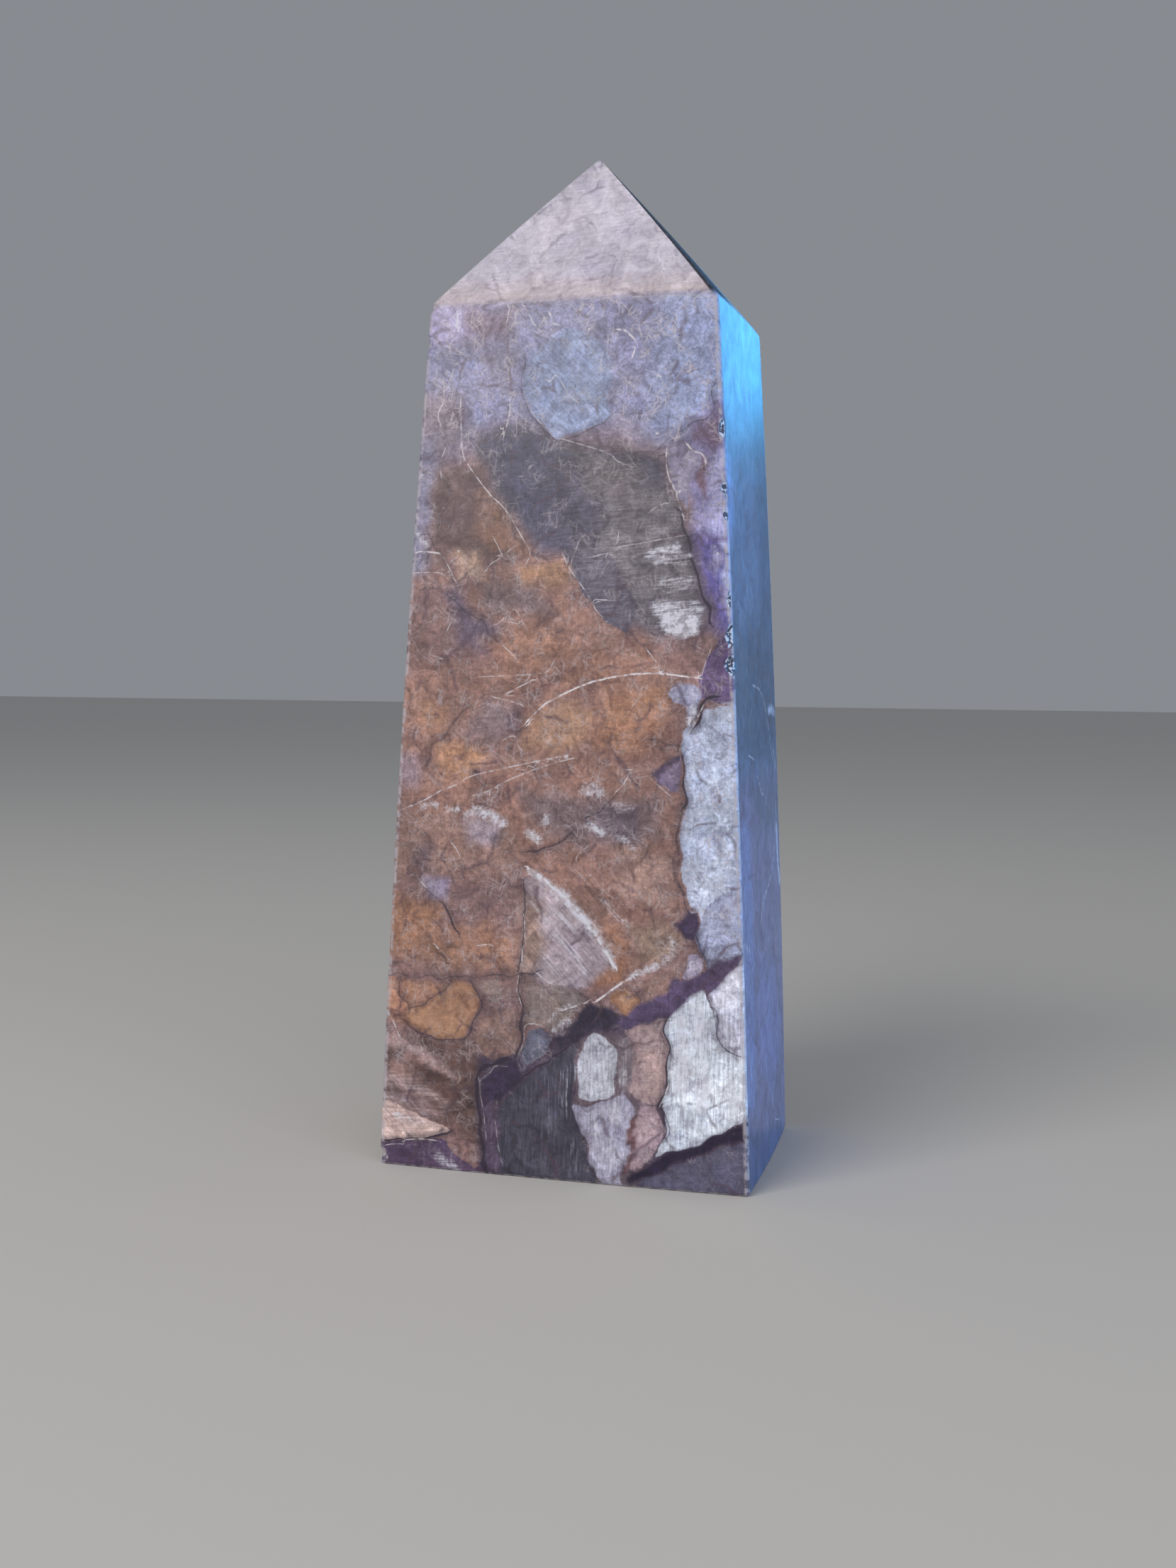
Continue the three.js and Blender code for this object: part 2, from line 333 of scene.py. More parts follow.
            ("#696472", [(6.6, 56.8), (7.2, 60), (4.4, 64.4), (2, 66.6), (-0.4, 64.8), (1, 62.3),
                (4.4, 57.6)]),
            ("#67547c", [(18, 49.7), (17.9, 56.4), (16, 56.6), (13.9, 52.2), (14.4, 50.6), (16, 49.8)]),
            ("#c3cee6", [(18, 49.5), (19.5, 24.4), (15.6, 22.9), (14.5, 24.6), (14.2, 26), (14.6, 27.8),
                (13.1, 30.4), (12.6, 32.3), (12.3, 36.6), (12.7, 38.2), (13, 41.6), (12.1, 45.4),
                (12.5, 46.8), (13.2, 47.5), (13.8, 47.4), (14.5, 49), (16, 49.4)]),
            ("#dfe9f5", [(15, 20.9), (17.4, 14.4), (18.2, 14.1), (19.7, 14.1), (20, 8.4), (16, 5.9),
                (12, 4), (10.2, 3.4), (10.9, 4.6), (11.4, 6), (11.4, 7.8), (10.8, 9.3), (11.3, 10.4),
                (11.6, 11.8), (11.3, 17.2), (11.8, 18.4), (12.6, 19.4)]),
            ("#d2d8e2", [(3.6, 15.8), (5, 15.4), (5.9, 14.2), (6.1, 12), (5.9, 10), (4.8, 9), (3.2, 8.5),
                (2.1, 9), (2.1, 12), (2.5, 14.8)]),
            ("#4b4a59", [(-6, -3), (-6.2, 0), (-6.8, 3), (-6.9, 5.6), (-5.6, 8.2), (-4.2, 10.2),
                (-2.4, 11.2), (-0.6, 12.6), (0.8, 14), (1.6, 14.4), (1.7, 11.6), (1.2, 9.6), (1.5, 7.6),
                (3.1, 3.6), (3.2, 2.2), (5.2, -0.4), (5.2, -3)]),
            ("#e4c9bf", [(-12.1, 4.3), (-13.4, 3.8), (-19, 2.7), (-23, 2.2), (-23, 6.4), (-18.6, 6.6),
                (-13.4, 5), (-12.3, 4.6)]),
            ("#b98d70", [(-16.8, 16), (-15, 14.5), (-12.5, 14.3), (-10.7, 14.5), (-9.2, 16.4), (-8.8, 17.5),
                (-9.9, 20.2), (-11.6, 20.1), (-13, 19.2)]),
            ("#aaabc5", [(11.8, 51.7), (13.6, 51.6), (14.3, 50.6), (13.3, 48), (12.8, 48.2), (12.5, 49.6),
                (11.2, 49.8), (10.9, 50.9)]),
        ],
        "smallPlates": [
            ("#d2d6e7", [(19.6, 23.6), (19.9, 14.3), (18.2, 14.3), (17.5, 14.7), (17, 15.8), (15.5, 20.5),
                (16.3, 21.6), (18.2, 23.1)]),
            ("#b3b2c6", [(6.8, 9.7), (7.6, 8.6), (7.8, 7), (7.4, 5.2), (7, 1.6), (6.5, 0), (6, -3),
                (5.2, -3), (5.3, 0), (3.4, 2.3), (3.5, 3.4), (1.9, 6.6), (1.6, 8), (3, 7.7), (4.4, 8.4),
                (5.6, 9.3)]),
            ("#8c8088", [(7.4, 15.4), (7.8, 12.6), (7.4, 10), (6.6, 10.2), (6, 15.2)]),
            ("#b29a9a", [(11, 17.6), (11.3, 12), (10.4, 8.7), (8.8, 8.8), (7.6, 10), (8, 12.4), (7.8, 14.6),
                (7, 16.4)]),
            ("#b29ba2", [(10.2, 8.4), (11.1, 6.6), (10.8, 5), (8.4, 1.6), (7.8, 2), (7.9, 4), (8.4, 6.2),
                (8.2, 8.3)]),
            ("#7b5e62", [(8, 8.2), (8.4, 6.4), (7.9, 4), (7.9, 1.8), (7.5, 0.9), (7.2, 3)]),
            ("#75778c", [(-0.8, 15.1), (-1.2, 14), (-2.4, 12.6), (-3.8, 11.6), (-4.2, 12.4), (-3.4, 15.6),
                (-2, 15.8)]),
            ("#97837d", [(-6.8, 20.8), (-6.3, 19.6), (-6.8, 18.4), (-8.1, 18.1), (-9.1, 19.6),
                (-8.4, 20.6)]),
            ("#987b73", [(-4.2, 16), (-4.2, 14), (-4.8, 13), (-6.2, 12.4), (-7.8, 12.3), (-9, 13.6),
                (-9.6, 14.8), (-8.3, 16.8), (-7, 17.4), (-5.2, 17)]),
            ("#b0826c", [(-17.4, 16.2), (-17, 17.1), (-18.2, 20.3), (-23, 20.4), (-23, 17.4), (-19.8, 16.9),
                (-18.6, 16.3)]),
            ("#bbb2cb", [(14.1, 24.3), (14.8, 23.2), (14.5, 22.5), (13.3, 21.9), (12.9, 22.4),
                (13.3, 24.1)]),
            ("#ad8367", [(5.4, 19.4), (6, 20.2), (7.2, 20.6), (8, 19.8), (8.3, 18.9), (7.2, 17.7),
                (6.2, 18.2)]),
            ("#918ca6", [(11.6, 76.2), (13, 75.2), (13.2, 73.4), (12.8, 71.4), (12, 69.4), (10.5, 72.6),
                (10.2, 75.6)]),
            ("#5d5b72", [(20.6, 6), (20.6, -3), (7.6, -3), (7.8, 0), (9.6, 1.2), (18, 5.1)]),
            ("#5e4a67", [(-23, 2), (-20, 2.2), (-14, 3.2), (-12.6, 3), (-11.4, 1.6), (-9, 0.6), (-7.4, 1),
                (-7, -3), (-23, -3)]),
            ("#a4abc8", [(19.1, 32.4), (19.5, 24.4), (15.6, 22.9), (14.5, 24.6), (14.2, 26), (14.7, 27.8),
                (15.2, 29.6), (17, 30.8)]),
            ("#887991", [(12, 43.6), (12.2, 42), (12, 41), (11, 41), (9.6, 42.2)]),
        ],
        "darkPlates": [
            ("#5a4b6b", [(5.9, 17.2), (7, 16.6), (11.3, 17.8), (13, 19.6), (15, 20.9), (15.6, 21),
                (18.4, 23.4), (19.8, 23.9), (19.8, 25.2), (16.2, 23.4), (14.7, 22.4), (13, 21.7),
                (12.2, 21.8), (11, 20.2), (9, 19), (8.2, 18.8), (7.2, 17.7)]),
            ("#261b38", [(7.4, 0.4), (9.6, 1.4), (18, 5.6), (20.6, 6.5), (20.6, 8.2), (16, 5.8), (10, 2.8),
                (8.4, 1.7)]),
            ("#3b3348", [(6.4, 17.2), (5.4, 16.3), (3.6, 16.2), (2.2, 15.4), (0, 13.6), (-0.6, 15.1),
                (0.6, 15.4), (1.6, 16.4), (3, 18.8), (4.4, 18.5), (5.6, 17.9)]),
            ("#40344f", [(-4.6, 12.3), (-4, 11), (-6.6, 8), (-8, 7.4), (-8.6, 8.4), (-8.6, 9.8),
                (-6.8, 11.5), (-5.6, 11.7)]),
            ("#5f5168", [(-7.2, 7.8), (-6.6, 6.8), (-6.8, 4), (-6.4, 1.6), (-6.2, -3), (-7.6, -3),
                (-8.2, 7)]),
            ("#483a56", [(13.6, 28.9), (14.2, 28), (14.4, 26.8), (14, 25.8), (13, 26), (12, 27.4)]),
            ("#574b64", [(9.2, 42.5), (11.6, 44.2), (12.3, 44.4), (12.1, 43.6), (11, 43.2), (10, 42.3)]),
            ("#9d786c", [(-16.5, 31.8), (-15.6, 31), (-15.9, 31.8)]),
        ],
    },
    "paleLines": [  # scratches and veins
        (0.24, 1.8, [(-3.6, 32.4), (-2.6, 31.9), (-0.4, 30.2), (0.8, 29.2), (2, 28), (4.4, 24.8),
            (5.7, 22.7)]),
        (0.1, 0.75, [(-11.9, 81), (-11.75, 77), (-11.6, 75.6), (-11.1, 74.4), (-8.6, 71.2), (-6.9, 69.6),
            (-4.9, 66.6), (-4, 65), (-4.4, 64)]),
        (0.1, 0.65, [(-0.4, 64.6), (0.2, 63.4), (1.7, 61.4), (2.4, 60.4), (3, 59.3), (3.5, 58.7)]),
        (0.13, 0.6, [(-5.6, 81.3), (-6.5, 81), (-6.5, 79.5), (-7.1, 77)]),
        (0.09, 0.55, [(-1.6, 76.8), (3.8, 75.1), (5, 74.2), (6.3, 73.6)]),
        (0.16, 0.9, [(4.9, 87.4), (5.6, 87.3), (6.6, 86.3)]),
        (0.16, 0.9, [(8.2, 83.1), (8.8, 83), (9.1, 82.6)]),
        (0.14, 0.95, [(6.3, 84.5), (6.6, 85.3)]),
        (0.09, 0.5, [(8.7, 82.6), (8, 80.7)]),
        (0.13, 0.8, [(-5, 90.2), (-4.1, 88.4)]),
        (0.16, 0.85, [(-2.4, 89.4), (-2, 88.4), (-1.6, 88.2)]),
        (0.1, 0.6, [(-6.6, 91), (-7, 88.6)]),
        (0.12, 0.8, [(-12.5, 89.2), (-12.3, 88.2)]),
        (0.1, 0.5, [(-10.3, 84.8), (-10, 83.3), (-9.2, 84)]),
        (0.13, 0.65, [(-13.9, 80.6), (-14.4, 79.5), (-14.1, 78.4)]),
        (0.09, 0.5, [(-13.5, 76), (-14, 74.6), (-13.9, 72.6)]),
        (0.1, 0.55, [(-4.7, 80.3), (-4.1, 79.4), (-3.1, 78.2), (-2.1, 77.2)]),
        (0.09, 0.55, [(-3, 82.9), (-2.2, 82.4), (-1.6, 83.1), (-0.3, 81.2), (0.6, 80.3)]),
        (0.14, 0.8, [(-17.1, 65), (-16, 65.3), (-14, 65.1)]),
        (0.11, 0.6, [(-14, 65.1), (-13.3, 64.3), (-12.1, 62.1)]),
        (0.1, 0.5, [(-17.2, 63), (-15.5, 63.1), (-13.8, 63), (-12.9, 62.4)]),
        (0.08, 0.5, [(-8, 66.6), (-6.9, 64.6)]),
        (0.1, 0.55, [(-8.8, 63.2), (-8.3, 63.9), (-7.4, 64.4), (-5.9, 65.6)]),
        (0.1, 0.5, [(-13, 57), (-12, 59)]),
        (0.12, 0.8, [(-14.5, 54.4), (-13.8, 54.2)]),
        (0.1, 0.65, [(-7.7, 57.6), (-7, 58), (-6.6, 58.6)]),
        (0.08, 0.5, [(-6.2, 58.4), (-5.6, 59.3), (-4.3, 57.3)]),
        (0.08, 0.6, [(-6, 57.9), (-5.1, 57.7)]),
        (0.11, 0.65, [(-6.6, 55.3), (-5.4, 54.3)]),
        (0.09, 0.5, [(-9.5, 52.2), (-4, 52.5), (-2.3, 52.7), (-1.8, 53), (-1.2, 54)]),
        (0.09, 0.5, [(1.3, 66.5), (0.4, 64)]),
        (0.13, 0.7, [(5.3, 66.6), (5.2, 66)]),
        (0.09, 0.5, [(5.3, 65.5), (12.1, 66.6)]),
        (0.09, 0.5, [(8.5, 69), (9.4, 69.6), (10.3, 69.9)]),
        (0.1, 0.55, [(2.4, 64.5), (4.7, 65)]),
        (0.1, 0.7, [(3, 60.2), (4.8, 60.1)]),
        (0.11, 0.7, [(8.6, 55), (9.3, 54.1), (10.6, 52.7)]),
        (0.13, 0.65, [(10.1, 75), (10.1, 73.8), (10.4, 72.4), (11, 71.2), (11.7, 69), (12, 68.4)]),
        (0.15, 0.75, [(12.2, 75.7), (12.8, 75), (13.8, 74.6), (14.2, 73.5)]),
        (0.09, 0.5, [(15, 55.2), (14.2, 52.8)]),
        (0.12, 0.75, [(-6.5, 50.4), (-3.4, 52)]),
        (0.11, 0.6, [(-7.8, 50.1), (-6.5, 49.9), (-4.7, 49.4)]),
        (0.13, 1.5, [(-4.1, 47.6), (-2.6, 49.1), (-1.6, 49.8), (1, 51.1), (2.5, 51.7), (4, 52.1), (6, 52.5),
            (8, 52.7), (10, 52.7), (13.9, 52.3)]),
        (0.08, 0.5, [(-6.6, 45.7), (-5.9, 46.1), (-5.2, 46), (-4.9, 45), (-4, 44.3)]),
        (0.12, 0.75, [(-18.6, 37.8), (-15.5, 39.1), (-13.5, 40.2), (-11.5, 41), (-9.3, 42.1), (0.4, 44.3)]),
        (0.12, 0.55, [(-9.8, 39.8), (-8, 40.4), (-6.5, 41.3), (-4, 42.4), (-1.5, 43.3), (1, 44)]),
        (0.1, 0.75, [(-12, 34.7), (-11.6, 34.2), (-11.3, 33.6)]),
        (0.16, 0.6, [(-15.8, 30.9), (-15.2, 30.2)]),
        (0.13, 0.7, [(14.4, 49.6), (13.3, 47.2), (12.5, 46.3), (12.1, 45.2), (12.1, 44.4)]),
        (0.11, 0.65, [(6.7, 42.1), (6.2, 41.3), (5.5, 40.6)]),
        (0.08, 0.5, [(8.1, 51.4), (7.7, 50.3), (6.4, 48.3)]),
        (0.1, 0.7, [(6.5, 42.9), (7.1, 43)]),
        (0.1, 0.5, [(9.2, 42), (11.3, 40.3)]),
        (0.08, 0.5, [(15.5, 42.2), (16.2, 41), (17.1, 40.4), (17.2, 39.8)]),
        (0.12, 0.85, [(-13.8, 23.9), (-12.1, 22.4)]),
        (0.12, 0.8, [(-8.9, 24.2), (-7.8, 24.3), (-6.8, 24)]),
        (0.11, 0.7, [(-19.5, 16.7), (-18.8, 16), (-17.8, 14)]),
        (0.11, 0.5, [(-4.4, 12.9), (-3.9, 14.4), (-3.8, 16), (-3, 16.3), (-2, 16.2)]),
        (0.1, 0.34, [(-8.7, 10), (-8.6, 8.5), (-8.2, 6.5), (-7.9, 4)]),
        (0.1, 0.32, [(-6.9, 5.8), (-6.6, 3.5), (-6.1, 1.4)]),
        (0.11, 0.32, [(-8.5, 10), (-7.5, 10.9), (-7, 11.6), (-6, 11.6)]),
        (0.1, 0.75, [(-4, 27.4), (-3.9, 25)]),
        (0.12, 0.65, [(-4.2, 24), (-4.2, 22.6)]),
        (0.1, 0.6, [(-4.6, 21), (-4.7, 19.8), (-4.2, 18.2)]),
        (0.14, 0.7, [(-2.4, 21.5), (-1.2, 20.7), (0, 20.6)]),
        (0.17, 1.8, [(3.9, 19.1), (6.2, 20.9), (7.3, 21.6)]),
        (0.15, 0.85, [(0.2, 17.9), (2.8, 18.9)]),
        (0.11, 0.85, [(10.8, 8.9), (11.6, 11)]),
        (0.1, 0.7, [(-19.6, 2), (-18.4, 2.3), (-17.4, 2.4)]),
        (0.1, 0.7, [(-17, 2.9), (-15, 3.15), (-13.2, 3.1)]),
        (0.07, 0.5, [(3, 35.2), (1.4, 33.6), (3.2, 31.8)]),
    ],
    "darkLines": [  # seams and cracks
        (0.13, 0.6, [(-5, 84.9), (-5.2, 82.5), (-5.1, 80.8), (-4.4, 79.5), (-3.3, 78.1), (-2.1, 77),
            (-0.6, 76.6), (1.5, 76.9), (4.1, 78.7)]),
        (0.26, 0.9, [(11.3, 69), (12, 67.8), (13.3, 63), (15.1, 57.8)]),
        (0.34, 0.95, [(15.6, 50.4), (14.8, 50.3), (14.2, 49.2), (13.6, 47.4)]),
        (0.15, 0.8, [(12.2, 44.3), (12.7, 41.8)]),
        (0.3, 0.9, [(12.7, 42), (12.8, 40.2), (12.4, 38.9)]),
        (0.16, 0.65, [(12.4, 38.6), (12.1, 36.9), (12, 35), (12.2, 33.2), (12.2, 31.8), (13.4, 28.4)]),
        (0.45, 0.5, [(11.7, 34), (11.8, 32.6), (12, 31.8)]),
        (0.3, 0.55, [(9.2, 46), (12, 45.6)]),
        (0.2, 0.45, [(9.6, 45.1), (12, 44.9)]),
        (0.2, 0.7, [(14.3, 26.4), (14.5, 24.9), (15, 23.8), (15.5, 23)]),
        (0.22, 0.75, [(-4.2, 34.1), (-3.2, 34.2), (-1.9, 34.8), (-0.6, 35.2), (1, 36.2)]),
        (0.16, 0.7, [(2.6, 37.8), (3.6, 38.5), (5.4, 40.4)]),
        (0.15, 0.8, [(-4.1, 31), (-4.1, 29), (-3.9, 27), (-4.5, 21.5), (-4.3, 19), (-3.9, 17)]),
        (0.1, 0.6, [(-19.6, 20.4), (-15, 20.6), (-11.5, 20.6), (-7, 21.2), (-5, 21.2)]),
        (0.24, 0.8, [(-4.5, 21.3), (-3, 21.4), (-2.2, 21.7)]),
        (0.13, 0.75, [(-17, 15.6), (-15.2, 14.4), (-12.5, 14.2), (-10.6, 14.3), (-9, 16.4), (-8.4, 17.4),
            (-9.1, 18.7), (-9.8, 20.4)]),
        (0.14, 0.65, [(-16.8, 16.7), (-15.5, 17.3), (-14, 18.5), (-12.2, 20.2)]),
        (0.13, 0.65, [(-18.1, 20), (-17.9, 18.6), (-17, 17.5), (-16.7, 16.7), (-17.6, 16), (-19.4, 16.6)]),
        (0.22, 0.85, [(-13.2, 28.5), (-11.7, 26.4), (-11.4, 25.4)]),
        (0.24, 0.5, [(-15.2, 30.2), (-13.2, 28.5)]),
        (0.34, 0.6, [(-13.3, 23), (-12.4, 22.2)]),
        (0.32, 0.85, [(-3.9, 17.2), (-4.1, 15.4), (-4.4, 13.9), (-4.9, 12.6)]),
        (0.45, 0.9, [(-5.6, 12.2), (-7.6, 11.6), (-8.9, 10.4), (-9, 8.6), (-8.6, 6.5), (-8.5, 4), (-8, 2),
            (-8, -1)]),
        (0.2, 0.85, [(-5.3, 9.8), (-1.6, 12.2), (-0.2, 13.2), (0.6, 14)]),
        (0.17, 0.9, [(11.2, 17.6), (11.4, 12.6), (11.3, 10.8), (10.7, 9.3), (10.5, 8.4)]),
        (0.16, 0.65, [(10.7, 8.5), (11.4, 7.6), (11.6, 6.2), (11.1, 5)]),
        (0.11, 0.3, [(6.1, 12), (6, 10.2), (5.4, 9.2), (3.2, 8.2)]),
        (0.14, 0.35, [(1.4, 8.6), (1.8, 6.6), (2.8, 4.4), (3.1, 2.4), (4.3, 0.8)]),
        (0.13, 0.3, [(7, 10), (7.7, 8.8), (7.9, 7.6)]),
        (0.12, 0.3, [(6.2, 16.2), (7.6, 15.2), (8.1, 13.6), (7.7, 12.2)]),
        (0.11, 0.75, [(16.1, 18.8), (16.6, 16.8), (17.2, 15), (17.7, 14.3), (18.6, 14.2)]),
        (0.22, 0.95, [(-20.6, 2.4), (-14.5, 3.4), (-13.2, 3.7), (-12, 4.3)]),
        (0.34, 0.55, [(-15.2, 43), (-14.8, 44.2), (-14.2, 45.2), (-13.2, 46), (-12.4, 46.8), (-10.9, 49)]),
        (0.22, 0.95, [(-9.4, 42), (-9.3, 42.05)]),
        (0.12, 0.9, [(-5.9, 44.8), (-5.85, 44.8)]),
        (0.12, 0.9, [(-0.5, 57), (-0.4, 57)]),
        (0.12, 0.55, [(7.5, 20.7), (8.1, 20), (8.3, 19.4)]),
        (0.14, 0.6, [(1.4, 20.6), (2, 19.9), (2.8, 19.2)]),
        (0.12, 0.6, [(14.9, 82), (14.5, 78.7), (13, 78), (11.6, 76.9)]),
        (0.14, 0.6, [(-15.5, 67.6), (-14.8, 66.2), (-13.8, 64.9), (-12.6, 62.4)]),
        (0.28, 0.5, [(-12.6, 60.6), (-11.4, 59.4), (-9.6, 58.2), (-8.2, 56.6), (-7.4, 55.9)]),
        (0.26, 0.55, [(8.4, 34), (9, 35)]),
        (0.2, 0.6, [(-9.2, 39), (-8.2, 38.7)]),
        (0.14, 0.5, [(10.2, 16.9), (11.3, 17.6), (12.2, 17.9)]),
        (0.12, 0.55, [(-5.2, 18.2), (-4.4, 17), (-3.8, 16.8)]),
    ],
    # painted highlights: white flashes of light off the mica planes
    "glints": [  # white flashes of mica planes
        (0.3, 0.95, [(8.9, 64.9), (10, 65.2), (11.3, 65.4)]),
        (0.3, 0.6, [(8.3, 64.5), (12.6, 64.6)]),
        (0.16, 0.7, [(9.1, 63.8), (12.4, 64)]),
        (0.3, 0.75, [(9.7, 61.9), (11.4, 61.9), (12.8, 62.2)]),
        (0.22, 0.5, [(9.5, 61.2), (12.2, 61.3)]),
        (0.8, 0.7, [(9.6, 59.3), (13.4, 59.2)]),
        (1.15, 1, [(10.9, 57.9), (12.2, 57.5), (12.8, 57.6)]),
        (0.22, 0.8, [(-15.4, 38.5), (-14.6, 38.7), (-13.8, 38.6)]),
        (0.3, 0.6, [(-12.7, 38.4), (-11.4, 38.4)]),
        (0.2, 0.7, [(-10.7, 37.7), (-10.2, 38.2)]),
        (0.45, 1, [(-9.6, 38.2), (-8.6, 38.1), (-7.4, 37.7), (-6.5, 37.1)]),
        (0.42, 0.85, [(-3.7, 36.2), (-2.5, 35.4)]),
        (0.24, 0.95, [(-1.8, 37.8), (-1.8, 37.4)]),
        (0.28, 0.9, [(-3.5, 32.3), (-0.6, 30.4)]),
        (0.45, 1.05, [(-0.8, 30.4), (0.4, 29.5), (1.4, 28.6), (3.4, 26.2)]),
        (0.28, 0.9, [(3.2, 26.4), (4.2, 25.2), (5.7, 22.7)]),
        (0.22, 0.65, [(-1, 28.2), (0.3, 27.2), (1.4, 26.1)]),
        (0.22, 0.5, [(2.8, 27.6), (4.2, 26.2), (5.8, 24)]),
        (0.35, 0.6, [(-0.6, 25.6), (1, 24.2), (2.7, 22)]),
        (0.35, 0.5, [(-3.4, 29), (-2, 27.6), (-0.6, 25.8)]),
        (0.3, 0.45, [(-3.2, 25), (-1.6, 23.4), (-0.4, 22)]),
        (0.6, 0.6, [(2.2, 40.8), (3.1, 40.9), (3.9, 40.5)]),
        (0.4, 0.8, [(2.8, 37.2), (4.2, 36.4)]),
        (0.35, 0.7, [(6, 36), (7.3, 35.2)]),
        (0.3, 0.45, [(5, 39.5), (7.4, 39.1)]),
        (0.3, 0.6, [(4.5, 29.5), (5.2, 28.6), (7, 27)]),
        (0.26, 0.35, [(0.4, 33), (1.8, 32.2), (2.8, 31)]),
        (0.25, 0.85, [(13.4, 49.3), (13.1, 47.9)]),
        (0.3, 0.85, [(7.5, 21.8), (10.4, 23.2)]),
        (0.34, 0.55, [(10.4, 23.2), (11.4, 23.9), (11.8, 24.8), (11.4, 26)]),
        (0.45, 0.6, [(-0.4, 15.9), (0.4, 16.6), (1, 16.9)]),
        (0.25, 0.5, [(-1.2, 16.8), (0, 18), (1.2, 18.6)]),
        (0.8, 0.7, [(12.6, 17.6), (12.9, 14), (12.8, 11)]),
        (0.8, 0.6, [(14.4, 19), (14.6, 15.5), (15, 12), (15, 9)]),
        (0.6, 0.5, [(17.8, 12.2), (18, 10.4), (19, 9.4)]),
        (0.6, 0.45, [(3.1, 14.2), (3.4, 10)]),
        (0.5, 0.4, [(4.6, 13), (4.7, 10.6)]),
        (0.5, 0.5, [(3.4, 7.4), (4.4, 4.8)]),
        (0.5, 0.5, [(5.9, 8.4), (6, 6.8)]),
        (0.6, 0.5, [(5.6, 3.8), (5.8, 2)]),
        (0.3, 0.6, [(6.8, 12.2), (6.7, 10.8)]),
        (0.4, 0.6, [(-16.4, 66.9), (-15.5, 66)]),
        (0.3, 0.6, [(-17, 73.3), (-16.2, 73.2)]),
        (0.3, 0.6, [(-12.6, 89.8), (-12.4, 88.4)]),
        (0.35, 0.6, [(13.9, 28.9), (14.8, 28.7)]),
        (0.25, 0.6, [(15, 28.5), (16.8, 28.5)]),
        (0.4, 0.6, [(-12.4, 0.6), (-11.7, 0.9), (-11.3, 0.2)]),
        (0.5, 0.5, [(-18, 5.4), (-15.4, 4.8)]),
        (0.6, 0.26, [(-21, 13.8), (-17.5, 13.4), (-15.5, 12.5), (-13.6, 11.3), (-11.6, 10.3)]),
        (0.6, 0.28, [(-21, 9.8), (-17, 9), (-15, 8.2), (-12.8, 7.1)]),
        (0.4, 0.34, [(-21, 7.4), (-17.2, 7), (-14.6, 5.7)]),
        (0.6, 0.27, [(0.6, 12), (0.7, 7.4)]),
        (0.5, 0.2, [(-1.4, 10.4), (-1.2, 5)]),
        (0.5, 0.2, [(1.6, 4.4), (1.8, 0)]),
        (0.45, 0.6, [(-13.2, 1.4), (-12.2, 0.6)]),
        (0.25, 0.8, [(13.4, 23.4), (14.2, 22.9)]),
    ],
}
specks = [  # place and radius
    (-4.1, 73.9, 0.26), (-4.35, 73.35, 0.29), (-2.85, 72.4, 0.26), (-2.6, 72.85, 0.22), (-5.4, 72.8, 0.21),
    (-4.9, 72.9, 0.19), (1.8, 87.6, 0.23), (0.5, 86.7, 0.21), (3.7, 86.3, 0.22), (-1.5, 85.8, 0.24),
    (3.2, 85.1, 0.19), (-2.3, 80.95, 0.23), (-8.1, 79.2, 0.23), (-7.4, 77.5, 0.21), (-8.7, 77.2, 0.23),
    (-3.65, 76.85, 0.24), (-0.1, 78.1, 0.21), (9.1, 76.8, 0.29), (-4.1, 82.9, 0.25), (11.5, 71, 0.27),
    (5.9, 69.2, 0.21), (-0.5, 71.5, 0.21), (0.15, 71.5, 0.21), (6.5, 61.8, 0.21), (4, 61, 0.23),
    (4.3, 57.9, 0.22), (5.7, 57.4, 0.21), (-13.65, 69.75, 0.24), (-11.85, 65.2, 0.29), (-7.6, 40.2, 0.22),
    (-3.7, 47.3, 0.21), (-7, 24.1, 0.27), (2.2, 21.7, 0.26), (1.1, 22, 0.21), (7.8, 67.3, 0.19),
    (9.6, 68.4, 0.19), (15.1, 73.5, 0.22), (15.2, 72.5, 0.22), (15.5, 64.7, 0.25), (15.2, 65.5, 0.22),
    (15.6, 53.3, 0.19), (11.1, 22.8, 0.23), (-6.6, 85.4, 0.19), (-0.4, 33.2, 0.25), (11, 76.4, 0.19),
    (-2.4, 71.4, 0.19), (-1.2, 67.6, 0.21), (4.4, 64.7, 0.19),
]
frontFace["paleLines"] += [(radius, 1.0, [(x, z)]) for x, z, radius in specks]

